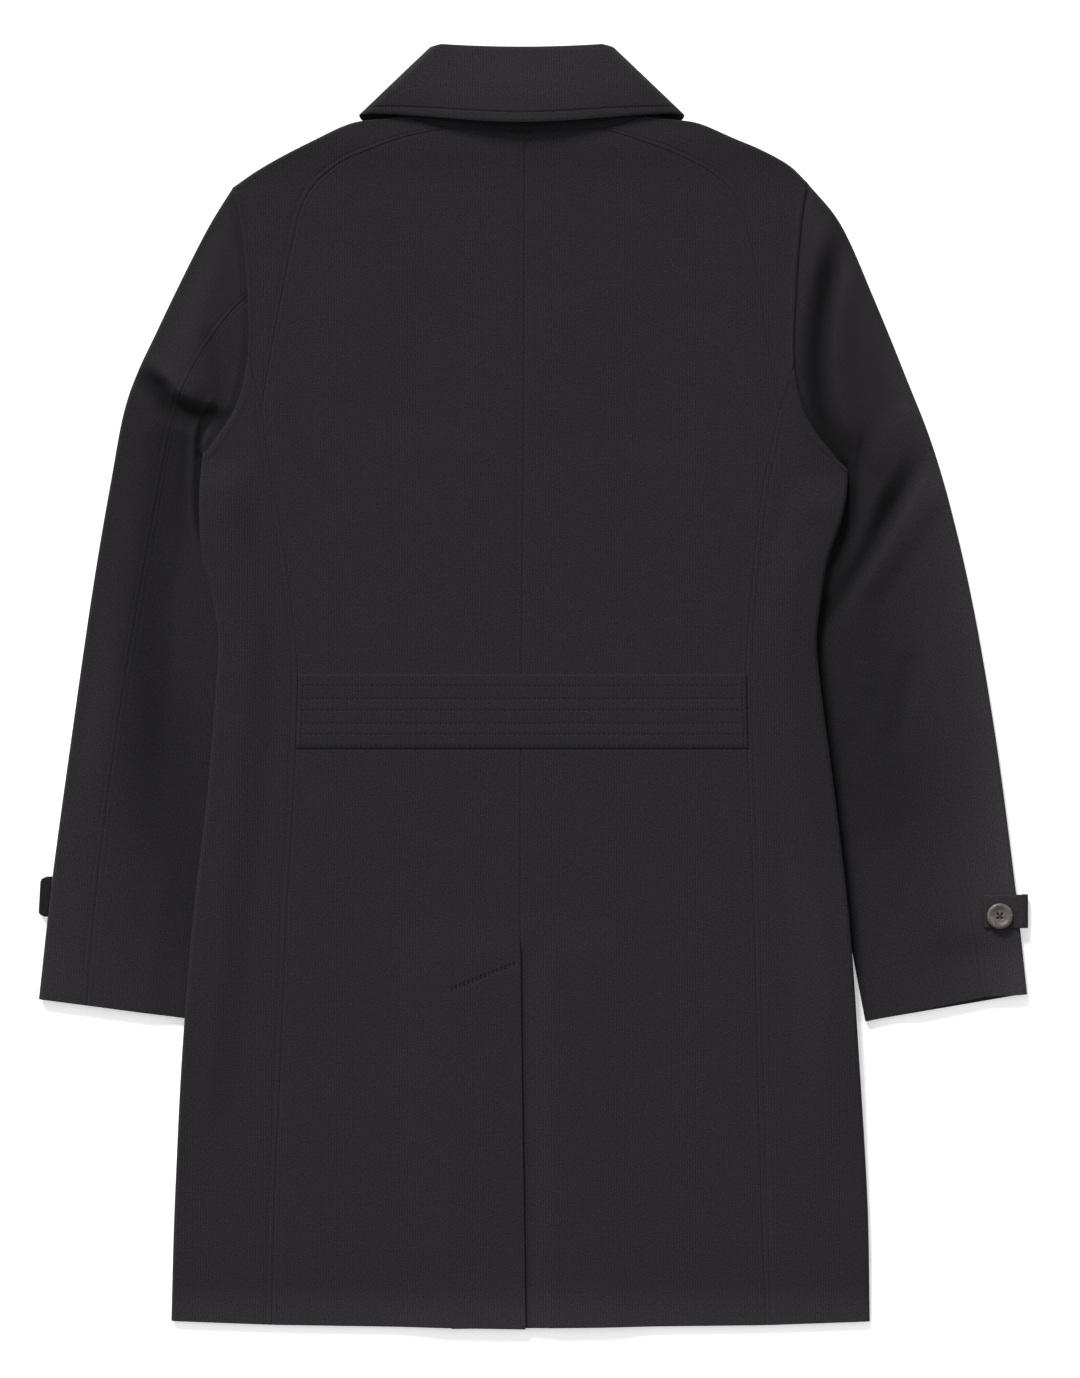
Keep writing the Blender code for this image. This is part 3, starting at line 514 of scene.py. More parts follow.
def vent_drop(p):
    """The right back passes one layer under the left one at the vent."""
    across = ease((centre(p.y) + VENT_CLEAR + VENT_DROP_LENGTH - p.x) / VENT_DROP_LENGTH)
    return LAYER * across * ease((VENT_TOP + VENT_DROP_LENGTH - p.y) / VENT_DROP_LENGTH)


def lift(p, z):
    return Vector((p.x, p.y, z))


def fold_point(edge, start, low, high, angle):
    """Point of an edge fold, from straight up at a quarter turn to the edge at nought."""
    reach = start - edge
    middle = (low + high) / 2
    half = (high - low) / 2
    return lift(edge + reach * (1 - math.cos(angle)), middle + half * math.sin(angle))


def across(a, b, count, steps=EDGE_STEPS):
    """Points from a to b, close together near both ends."""
    length = (b - a).length
    scale = min(1, length / (steps[-1] * 3))
    near = [s * scale / length for s in steps]
    inner = even(near[-1], 1 - near[-1], count)
    return [a.lerp(b, t) for t in near[:-1] + inner + [1 - t for t in reversed(near[:-1])]]


def seam_inset(seam, inside):
    """Move of a panel's edge at its seam: a hair past it, so that no gap shows."""
    return ((inside - seam).normalized() * SEAM_INSET).to_3d()


def held(shades, points):
    """Shades for every point of a row, the last one held round the fold."""
    return shades + [shades[-1]] * (len(points) - len(shades))


def welt(distance, depth):
    """Depth of a lapped seam at a distance from it: a rolled edge, a flat welt and its stitch line."""
    rolled = WELT_ROLL * (1 - ease(distance / WELT_ROLL_WIDTH))
    return rolled + depth * ease(1 - abs(distance - WELT_STITCH) / STITCH_GROOVE_WIDTH)


def plain_seam(distance):
    return SEAM_DEPTH * (1 - ease(distance / SEAM_WIDTH))


def armhole_roll(distance):
    """Height of the soft roll that the seam allowance makes along the armhole."""
    roll = ease(1 - abs(distance - ARMHOLE_ROLL_WIDTH) / ARMHOLE_ROLL_WIDTH)
    return ARMHOLE_ROLL * roll - plain_seam(distance)


# Finishes
def new_finish(name, constants):
    """A material with its constant values on the shader's own sockets, its node tree and the shader."""
    material = bpy.data.materials.new(name)
    material.use_nodes = True
    shader = material.node_tree.nodes["Principled BSDF"]
    for socket, value in constants.items():
        shader.inputs[socket].default_value = value
    return material, material.node_tree, shader


def add_node(tree, kind, feeds, values, operation=None):
    """A node with its inputs fed from other sockets and its own fixed values."""
    node = tree.nodes.new("ShaderNode" + kind)
    if operation:
        node.operation = operation
    for socket, source in feeds.items():
        tree.links.new(source, node.inputs[socket])
    for socket, value in values.items():
        node.inputs[socket].default_value = value
    return node


def two_tones(tree, pattern, low, high):
    """Colour that goes from a low tone to a high one as a pattern rises, each a place and a colour."""
    ramp = add_node(tree, "ValToRGB", {"Fac": pattern}, {})
    for stop, (place, colour) in zip(ramp.color_ramp.elements, (low, high)):
        stop.position = place
        stop.color = (*colour, 1)
    return ramp.outputs["Color"]


def wool(name, light, dark, nap):
    """Charcoal wool: upright ribs along the grain under a short mottled nap."""
    material, tree, shader = new_finish(name, {
        "Roughness": 0.95, "Specular IOR Level": 0.08,
        "Sheen Weight": 0.03, "Sheen Roughness": 0.5, "Sheen Tint": (0.6, 0.57, 0.6, 1),
    })
    grain = tree.nodes.new("ShaderNodeTexCoord").outputs["UV"]
    rib = add_node(tree, "TexWave", {"Vector": grain},
                   {"Scale": 150, "Distortion": 3, "Detail": 3, "Detail Scale": 4})
    along_grain = add_node(tree, "Mapping", {"Vector": grain}, {"Scale": (1, 0.7, 1)})
    fibre = add_node(tree, "TexNoise", {"Vector": along_grain.outputs["Vector"]},
                     {"Scale": 1050, "Detail": 4, "Roughness": 0.7})
    surface = add_node(tree, "Math", {0: rib.outputs["Fac"], 2: fibre.outputs["Fac"]}, {1: 0.12},
                       "MULTIPLY_ADD")
    colour = two_tones(tree, surface.outputs[0], (0.4, dark), (0.74, light))
    # Painted light and shade: the colour is scaled by each point's painted factor from the mesh
    painted_light_and_shade_factor = tree.nodes.new("ShaderNodeAttribute")
    painted_light_and_shade_factor.attribute_name = "nap"
    shaded = add_node(tree, "VectorMath", {"Vector": colour, "Scale": painted_light_and_shade_factor.outputs["Fac"]}, {}, "SCALE")
    tree.links.new(shaded.outputs["Vector"], shader.inputs["Base Color"])
    bump = add_node(tree, "Bump", {"Height": surface.outputs[0]}, {"Strength": nap, "Distance": 0.0004})
    tree.links.new(bump.outputs["Normal"], shader.inputs["Normal"])
    return material


def horn(name):
    """Satin grey-brown horn with soft streaks."""
    material, tree, shader = new_finish(name, {"Specular IOR Level": 0.5})
    place = tree.nodes.new("ShaderNodeTexCoord").outputs["Object"]
    streak = add_node(tree, "TexNoise", {"Vector": place}, {"Scale": 160, "Detail": 5, "Distortion": 1.5})
    dark = (0.3, (0.045, 0.036, 0.031))
    light = (0.72, (0.125, 0.105, 0.092))
    colour = two_tones(tree, streak.outputs["Fac"], dark, light)
    tree.links.new(colour, shader.inputs["Base Color"])
    gloss = add_node(tree, "MapRange", {"Value": streak.outputs["Fac"]}, {"To Min": 0.34, "To Max": 0.5})
    tree.links.new(gloss.outputs["Result"], shader.inputs["Roughness"])
    return material


def thread_finish(name, colour):
    """Twisted sewing thread."""
    material, tree, shader = new_finish(name, {"Roughness": 0.7, "Specular IOR Level": 0.06})
    place = tree.nodes.new("ShaderNodeTexCoord").outputs["Object"]
    twist = add_node(tree, "TexNoise", {"Vector": place}, {"Scale": 1500})
    dark = [c * 0.7 for c in colour]
    light = [c * 1.3 for c in colour]
    twisted = two_tones(tree, twist.outputs["Fac"], (0, dark), (1, light))
    tree.links.new(twisted, shader.inputs["Base Color"])
    return material


coat_wool = wool("charcoal_wool", (0.0252, 0.0228, 0.026), (0.0088, 0.008, 0.0092), 0.45)
button_horn = horn("button_horn")
sewing_thread = thread_finish("sewing_thread", (0.009, 0.0082, 0.0093))
# Painted shade: a darker copy of the sewing thread for the vent's stitches, standing for the shade in their
# groove
painted_shade_thread = thread_finish("painted_shade_thread", (0.0062, 0.0056, 0.0063))
button_thread = thread_finish("button_thread", (0.03, 0.027, 0.026))


# Making pieces
def add_piece(name, form, material):
    mesh = bpy.data.meshes.new(name)
    form.to_mesh(mesh)
    form.free()
    mesh.shade_smooth()
    piece = bpy.data.objects.new(name, mesh)
    piece.data.materials.append(material)
    bpy.context.scene.collection.objects.link(piece)
    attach(piece, "root")
    return piece


def lengths(points):
    """Length of a run of points up to each of them."""
    runs = [0]
    for a, b in zip(points, points[1:]):
        runs.append(runs[-1] + (b - a).length)
    return runs


def cloth(node, rows, wall=WALL, outward=UP, straight=False, nap=None):
    """One panel: a grid moved on to its rows of points, walled inwards, with a softened cut edge."""
    last_row = len(rows) - 1
    last_column = len(rows[0]) - 1
    form = bmesh.new()
    bmesh.ops.create_grid(form, x_segments=last_column, y_segments=last_row, size=1)
    grain = form.loops.layers.uv.new("grain")
    shade = form.verts.layers.float.new("nap")
    spots = {}
    for v in form.verts:
        spots[v] = (round((v.co.y + 1) / 2 * last_row), round((v.co.x + 1) / 2 * last_column))
    run_up = lengths([row[last_column // 2] for row in rows])
    run_across = [lengths(row) for row in rows]
    for v, (i, j) in spots.items():
        v.co = rows[i][j] * MM
        # Painted light and shade: each point's colour factor, as given, or else lighter towards the hem
        v[shade] = nap[i][j] if nap else hem_lightening(rows[i][j].y)
    for face in form.faces:
        for loop in face.loops:
            i, j = spots[loop.vert]
            run = rows[i][j] if straight else (run_across[i][j], run_up[i])
            loop[grain].uv = (run[0] * MM, run[1] * MM)
    i = last_row // 3
    way = (rows[i][2] - rows[i][1]).cross(rows[i + 1][1] - rows[i][1])
    if way.dot(outward) < 0:
        bmesh.ops.reverse_faces(form, faces=form.faces)
    piece = add_piece(node + "_cloth", form, coat_wool)
    thick = piece.modifiers.new("cloth_wall", "SOLIDIFY")
    thick.thickness = wall * MM
    thick.offset = -1
    thick.use_even_offset = False
    soft = piece.modifiers.new("soft_edge", "BEVEL")
    soft.width = EDGE_ROUND * MM
    soft.segments = 2
    soft.limit_method = "ANGLE"
    soft.angle_limit = SHARP_EDGE
    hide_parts(node)
    return piece


def hem_lightening(y):
    """Colour factor of the body, a little lighter towards the hem."""
    return 1 + HEM_LIGHTENING * (1 - ease((y - HEM_Y) / HEM_LIGHTENING_LENGTH))


def side_shade(side, p):
    """Painted shade on the side of the body, darker towards the fold above the waist."""
    inward = (p.x - side_edge(side, p.y)) * SIGN[side]
    above = ease((p.y - SIDE_SHADE_LOW) / SIDE_SHADE_RISE)
    return 1 - SIDE_SHADE[side] * ease(1 - inward / SIDE_SHADE_WIDTH) * above


def stitches(name, runs, size, material):
    """Rows of stitches along runs of points, each stitch a small rounded dash."""
    pitch, length, width = size
    form = bmesh.new()
    for run in runs:
        for a, b in zip(run, run[1:]):
            span = b - a
            count = max(round(span.length / pitch), 1)
            for k in range(count):
                spot = a.lerp(b, (k + 0.5) / count) * MM
                turn = span.to_track_quat("X", "Z").to_matrix().to_4x4()
                shape = Matrix.Diagonal((length * MM / 2, width * MM / 2, width * MM / 2, 1))
                bmesh.ops.create_icosphere(form, subdivisions=1, radius=1,
                                           matrix=Matrix.Translation(spot) @ turn @ shape)
    piece = add_piece(name, form, material)
    return piece


# Rows of the body, from the hem to below the underarm
BODY_ROWS = [HEM_Y + s for s in EDGE_STEPS] + even(HEM_Y + 10, -250, 36)
BODY_ROWS += even(-248.6, -212, 26) + even(-208, 166, 54)


def back_panel(side):
    """Centre back from the hem to the neck; the right one carries the vent's underlap."""
    ends = []
    for y in BODY_ROWS:
        ends.append((hem_point(centre(y), y), hem_point(side_seam(side, y), y)))
    join = Vector(YOKE_SEAM[side][0])
    below = ends[-1][1]
    for t in even(0, 1, JOIN_STEPS)[1:]:
        seam = below.lerp(join, t)
        ends.append((Vector((centre(seam.y), seam.y)), seam))
    top = len(YOKE_SEAM[side]) - 1
    for key in even(0, top, 66)[1:]:
        seam = Vector(yoke_at[side](key))
        middle = Vector((centre(seam.y), seam.y))
        neck = ease(key - top + 1)
        ends.append((middle.lerp(Vector(NECK_CENTRE), neck), seam))
    rows = []
    for middle, seam in ends:
        first = middle
        if side == "right":
            under = UNDERLAP * min(max((VENT_TOP - seam.y) / (VENT_TOP - VENT_SLANT_END), 0), 1)
            first = middle - Vector((under, 0))
        row = across(first, seam, PANEL_STEPS["back"])
        points = []
        for p in row:
            z = body_high(side, p) - welt((seam - p).length, WELT_DEPTH["back"])
            from_centre = (middle - p).length
            if side == "right":
                z -= vent_drop(p) + plain_seam(from_centre) * sewn_centre(p)
            else:
                z -= welt(from_centre, WELT_DEPTH["centre"]) * sewn_centre(p) + vent_stitch(p)
            z -= plain_seam(neck_line(p) - p.y) if p.y > NECK_LIFT_START else 0
            points.append(lift(p, z))
        inset = seam_inset(middle, seam)
        points[0] += inset
        points[-1] -= inset
        rows.append(points)
    return cloth("back_" + side, rows, straight=True)


def sewn_centre(p):
    """One where the centre back is sewn, nought at the open vent below."""
    return ease((p.y - VENT_TOP) / VENT_SEWN_FADE)


def vent_stitch(p):
    """Groove of the slanted stitching that holds the vent's top."""
    spot, t = intersect_point_line(p, VENT_STITCH_START, VENT_STITCH_END)
    if not -0.02 < t < 1.02:
        return 0
    away = (Vector(spot[:2]) - p).length
    return VENT_GROOVE * ease(1 - away / VENT_GROOVE_WIDTH)


def neck_line(p):
    """Height of the neck seam above a point of the back."""
    left, middle, right = Vector(YOKE_SEAM["left"][-1]), Vector(NECK_CENTRE), Vector(YOKE_SEAM["right"][-1])
    end = left if p.x < middle.x else right
    t = min(abs(p.x - middle.x) / abs(end.x - middle.x), 1)
    return mix(middle.y, end.y, t)


def side_back_panel(side):
    """Side of the back, from its seam round to the middle of the side fold."""
    ends = [(hem_point(side_seam(side, y), y), hem_point(side_edge(side, y), y)) for y in BODY_ROWS]
    last_seam, last_edge = ends[-1]
    join, join_edge = Vector(YOKE_SEAM[side][0]), Vector(JOIN_EDGE[side])
    for t in even(0, 1, JOIN_STEPS)[1:]:
        ends.append((last_seam.lerp(join, t), last_edge.lerp(join_edge, t)))
    plan = []
    for seam, edge in ends:
        start = edge + (seam - edge).normalized() * BODY_LOFT / 2
        plan.append((across(seam, start, PANEL_STEPS["side_back"]), edge))
    count = len(plan[-1][0])
    keys = even(JOIN_STATION, UNDERARM_NEAR, count - 1)
    armhole = [arm_point(side, s, -SEAM_INSET) for s in keys]
    join_row = plan[-1][0]
    for t in even(0, 1, UNDERARM_ROWS)[1:]:
        row = [p.lerp(q, t) for p, q in zip(join_row, armhole)]
        plan.append((row, join_edge.lerp(arm_point(side, LAST_STATION, -SEAM_INSET), t)))
    rows = []
    painted_light_and_shade_rows = []
    for k, (row, edge) in enumerate(plan):
        low, high = body_low(side, edge), body_high(side, edge)
        seam = row[0]
        to_armhole = (len(plan) - 1 - k) / UNDERARM_ROWS
        points = []
        shades = []
        for p in row:
            z = body_high(side, p) - welt((p - seam).length, WELT_DEPTH["side_back"])
            if to_armhole < 1:
                z += armhole_roll(min((p - q).length for q in armhole))
            points.append(lift(p, z))
            # Painted shade towards the side fold, with the lightening towards the hem
            shades.append(hem_lightening(p.y) * side_shade(side, p))
        points[0] += seam_inset(row[0], row[1])
        top = points[-1].z
        for angle in even(QUARTER, 0, FOLD_STEPS)[1:]:
            spot = fold_point(edge, row[-1], low, high, angle)
            spot.z += (top - high) * math.sin(angle)
            points.append(spot)
        rows.append(points)
        painted_light_and_shade_rows.append(held(shades, points))
    return cloth("side_back_" + side, rows, straight=True, nap=painted_light_and_shade_rows)


def yoke_panel(side):
    """Shoulder piece: armhole rows lie flat, shoulder rows turn to the middle of the shoulder fold."""
    tip = len(YOKE_BORDER) - 1
    top = len(YOKE_SEAM[side]) - 1
    rows = []
    for key in even(0, top, 110):
        seam = Vector(yoke_at[side](key))
        if key <= tip:
            k = min(int(key), tip - 1)
            station = mix(YOKE_BORDER[k], YOKE_BORDER[k + 1], key - k)
            border = arm_point(side, station, -SEAM_INSET)
        else:
            border = Vector(shoulder_at[side](key - tip))
        folded = ease(key - tip + 1)
        low, high = body_low(side, border), body_high(side, border)
        start = border + (seam - border).normalized() * (high - low) / 2
        row = across(seam, start, PANEL_STEPS["yoke"])
        points = []
        for p in row:
            z = body_high(side, p) - welt((p - seam).length, WELT_DEPTH["yoke"])
            z += armhole_roll((p - border).length) * (1 - folded)
            points.append(lift(p, z))
        for angle in even(QUARTER, 0, FOLD_STEPS)[1:]:
            turned = fold_point(border, start, low, high, angle)
            p = border.lerp(start, 1 - math.cos(angle))
            flat = lift(p, body_high(side, p) + armhole_roll((p - border).length))
            points.append(flat.lerp(turned, folded))
        points[0] += seam_inset(row[0], row[1])
        rows.append(points)
    return cloth("yoke_" + side, rows, straight=True)


def front_neck(side, t):
    """Point of the front neckline, from the placket up to the shoulder."""
    start = Vector((centre(FRONT_NECK_Y) + FRONT_OVERLAP * SIGN[side], FRONT_NECK_Y))
    sag = Vector((0, FRONT_NECK_SAG * 4 * t * (1 - t)))
    return start.lerp(Vector(SHOULDER[side][-1]), t) - sag


def front_panel(side):
    """Front, which the coat lies on: from its placket edge to the middle of the side and shoulder folds."""
    last_edge = hem_point(side_edge(side, BODY_ROWS[-1]), BODY_ROWS[-1])
    sides = [hem_point(side_edge(side, y), y) for y in BODY_ROWS[:-1:2] + BODY_ROWS[-1:]]
    sides += [last_edge.lerp(Vector(JOIN_EDGE[side]), t) for t in (0.5, 1)]
    armhole = [arm_point(side, s, -SEAM_INSET) for s in even(LAST_STATION, 0, 42)]
    top = len(SHOULDER[side]) - 1
    shoulder = [Vector(shoulder_at[side](k)) for k in even(0, top, 30)[1:]]
    placket_step = LAYER if side == "right" else 0
    steps = [placket_step, placket_step, 0] + [0 for _ in NEAR_SIDE] + [0]
    underarm_y = armhole[0].y
    tip_y = armhole[-1].y
    rows = []
    for k, border in enumerate(sides + armhole + shoulder):
        beyond_tip = k - len(sides) - len(armhole) + 1
        if beyond_tip > 0:
            placket = front_neck(side, FRONT_NECK_END * (beyond_tip - 1) / (len(shoulder) - 1))
        else:
            rise = min(max((border.y - underarm_y) / (tip_y - underarm_y), 0), 1)
            y = border.y if rise == 0 else mix(underarm_y, FRONT_TIP_ROW_Y, rise)
            placket = Vector((centre(border.y) + FRONT_OVERLAP * SIGN[side], y))
        if border.y < HEM_Y + 1:
            placket = hem_point(placket.x, HEM_Y)
        low, high = body_low(side, border), body_high(side, border)
        width = (placket - border).length
        inward = (placket - border) / width
        shrink = min(1, width / FRONT_FULL_WIDTH)
        half = (high - low) / 2
        start = border + inward * half
        row = [placket - inward * d * shrink for d in NEAR_PLACKET]
        row += [border + inward * (half + (e - half) * shrink) for e in NEAR_SIDE] + [start]
        points = [lift(p, body_low(side, p) + step) for p, step in zip(row, steps)]
        on_armhole = 0 < k - len(sides) < len(armhole) - 1
        for angle in even(QUARTER, 0, FOLD_STEPS)[1:]:
            if on_armhole:
                points.append(lift(border.lerp(start, 1 - math.cos(angle)), low))
            else:
                points.append(fold_point(border, start, low, high, -max(angle, 0.04)))
        rows.append(points)
    return cloth("front_" + side, rows, outward=-UP, straight=True)


armhole_runs = {}
for side in SIDES:
    armhole_runs[side] = [arm_point(side, s, SEAM_INSET) for s in even(0, LAST_STATION, 140)]


class SleeveRow:
    """One section of a sleeve: its outer edge, elbow seam and inner edge in plan, and its heights."""

    def __init__(self, side, section):
        row = sleeve_at[side](section)
        before = sleeve_at[side](max(section - SECTION_STEP, 0))
        after = sleeve_at[side](min(section + SECTION_STEP, LAST_SECTION))
        self.side = side
        self.outer = Vector(row[0:2])
        self.elbow = Vector(row[2:4])
        gather = ease(section - GATHER_START)
        self.inner = Vector(row[4:6]).lerp(arm_point(side, LAST_STATION, SEAM_INSET), gather)
        deeper = UNDERARM_TUCK * ease(section - DEEPER_START) * (1 - gather)
        self.tucked_edge = self.inner + Vector((SIGN[side] * deeper, 0))
        to_body = Vector((SIGN[side], 0))
        self.outer_square = self.square(Vector(after[0:2]) - Vector(before[0:2]), to_body)
        self.inner_square = self.square(Vector(after[4:6]) - Vector(before[4:6]), -to_body)
        self.pinch = 1 - FOLD_PINCH * ease((section - PINCH_START) / (LAST_SECTION - PINCH_START))
        self.bow = ease((section - BOW_START) / (LAST_SECTION - BOW_START))
        self.tucked = ease(TUCK_LAST_SECTION - section)
        self.section = section
        if section == LAST_SECTION:
            self.outer = arm_point(side, 0, SEAM_INSET)
            self.elbow = arm_point(side, ELBOW_STATION, SEAM_INSET)
        self.width = (self.elbow - self.outer).length + (self.inner - self.elbow).length
        # Painted light at the outer edge and painted shade at the inner edge for this section
        self.outer_nap, self.inner_painted_shade = painted_light_and_shade_at[side](section)

    @staticmethod
    def square(along, towards):
        """Unit direction square to an edge, on the side of towards."""
        sideways = Vector((-along.y, along.x)).normalized()
        return sideways if sideways.dot(towards) > 0 else -sideways

    def plain(self, p):
        """Height without creases or crown: lower where the body lies on the sleeve."""
        return mix(BODY_LOFT, TUCKED_TOP, self.under_body(p))

    def under_body(self, p):
        return self.tucked * (1 - ease(((p - self.inner).length - TUCK_FLAT) / TUCKED_RAMP))

    def high(self, p):
        """Height of the face: a crown between the two edges, ridges, troughs and the armhole seam."""
        crown = SLEEVE_CROWN[self.side] * ease((self.section - CROWN_START) / CROWN_GROWTH)
        crown *= ease(((p - self.outer).length - BODY_LOFT / 2) / CROWN_RUN)
        crown *= ease(((p - self.inner).length - TUCK_FLAT * self.tucked) / CROWN_INNER_RUN[self.side])
        seam_drop = 0
        if self.section > ARMHOLE_SECTION:
            away = min((p - q).length for q in armhole_runs[self.side])
            near = ease((self.section - ARMHOLE_SECTION) / ARMHOLE_FADE)
            crown *= mix(1, ease(away / ARMHOLE_RUN[self.side]), near)
            seam_drop = ARMHOLE_DROP * (1 - ease(away / ARMHOLE_DROP_WIDTH)) * near
        z = self.plain(p) + crown + crease(p, sleeve_ridges) * (1 - self.under_body(p))
        return mix(z, SLEEVE_LOWEST, min(crease(p, sleeve_troughs), 1)) - seam_drop

    def nap(self, p, run):
        """Painted light and shade at a run from the outer edge: painted light along the outer edge, painted
        shade towards the inner edge, in darker strokes and in troughs.
        """
        from_inner = max(1 - run / self.width, 0)
        painted_light_and_shade = mix(self.inner_painted_shade, self.outer_nap, from_inner ** PAINTED_LIGHT_FADE)
        return painted_light_and_shade * (1 - crease(p, painted_shade_strokes)) * (1 - TROUGH_SHADE * min(crease(p, sleeve_troughs), 1))

    def outer_start(self):
        return self.fold_start(self.outer, self.outer_square, 0, TIP_NEAR, OUTER_SWING)

    def inner_start(self):
        return self.fold_start(self.inner, self.inner_square, LAST_STATION, UNDERARM_NEAR, INNER_SWING)

    def fold_start(self, edge, square, corner, near, swing_start):
        """Where an edge begins to turn: square to it, swinging round on to the armhole at its end."""
        away = square * self.plain(edge) / 2 * self.pinch
        on_arm = arm_point(self.side, near, SEAM_INSET) - arm_point(self.side, corner, SEAM_INSET)
        swing = ease((self.section - swing_start) / (LAST_SECTION - swing_start))
        turn = math.atan2(away.cross(on_arm), away.dot(on_arm)) * swing
        return edge + Matrix.Rotation(turn, 2) @ away.normalized() * mix(away.length, on_arm.length, swing)

    def strip(self, panel, start, end, first, last):
        """Points from start to end, bowed more and more like the armhole between two stations."""
        flat = across(start, end, PANEL_STEPS[panel])
        if self.bow == 0:
            return flat
        length = (end - start).length
        a = arm_point(self.side, first, SEAM_INSET)
        b = arm_point(self.side, last, SEAM_INSET)
        points = []
        for p in flat:
            t = (p - start).length / length
            on_arm = arm_point(self.side, mix(first, last, t), SEAM_INSET)
            points.append(p + (on_arm - a.lerp(b, t)) * self.bow)
        return points


def sleeve_panels(side):
    """Top sleeve round the outer fold, under sleeve round the inner fold, joined underneath."""
    top_rows = []
    top_painted_light_and_shade = []
    under_rows = []
    under_painted_light_and_shade = []
    sections = [s * CUFF_STEP for s in EDGE_STEPS] + even(0.12, 7, 230) + even(7, LAST_SECTION, 36)[1:]
    for section in sections:
        row = SleeveRow(side, section)
        seam_shown = mix(1, ELBOW_SEAM_SHOWN[side], ease(section / 2))
        outer_start = row.outer_start()
        inner_start = row.inner_start()
        split = row.strip("sleeve_underside", outer_start, inner_start, TIP_NEAR, UNDERARM_NEAR)
        part = round(len(split) * UNDER_SEAM_SHARE)
        top_face = row.strip("top_sleeve", row.elbow, outer_start, ELBOW_STATION, TIP_NEAR)
        under_face = row.strip("under_sleeve", row.elbow, inner_start, ELBOW_STATION, UNDERARM_NEAR)
        to_elbow = (row.elbow - row.outer).length
        for rows, painted_light_and_shade_rows, face, edge, start, hidden, way in (
            (top_rows, top_painted_light_and_shade, top_face, row.outer, outer_start, split[:part + 1], -1),
            (under_rows, under_painted_light_and_shade, under_face, row.tucked_edge, inner_start, split[part:][::-1], 1),
        ):
            points = []
            shades = []
            for p in face:
                from_elbow = (p - row.elbow).length
                z = row.high(p) - welt(from_elbow, WELT_DEPTH["sleeve"]) * seam_shown
                points.append(lift(p, z))
                # Painted light and shade of each point, from its run across the sleeve
                shades.append(row.nap(p, max(to_elbow + way * from_elbow, 0)))
            high = points[-1].z
            for angle in even(QUARTER, -QUARTER, FOLD_STEPS * 2)[1:]:
                points.append(fold_point(edge, start, 0, high, angle))
            points += [lift(p, 0) for p in hidden[1::3]]
            points[0] += seam_inset(face[0], face[1])
            rows.append(points)
            painted_light_and_shade_rows.append(held(shades, points))
    top = cloth("top_sleeve_" + side, top_rows, nap=top_painted_light_and_shade)
    under = cloth("under_sleeve_" + side, under_rows, nap=under_painted_light_and_shade)
    return top, under


def roll_line(x):
    """Top edge of the collar, a little lower at the centre back."""
    return FALL_TOP_Y - FALL_TOP_DIP * (1 - min(abs(x - COLLAR_X) / FALL_TOP_HALF, 1) ** 2)


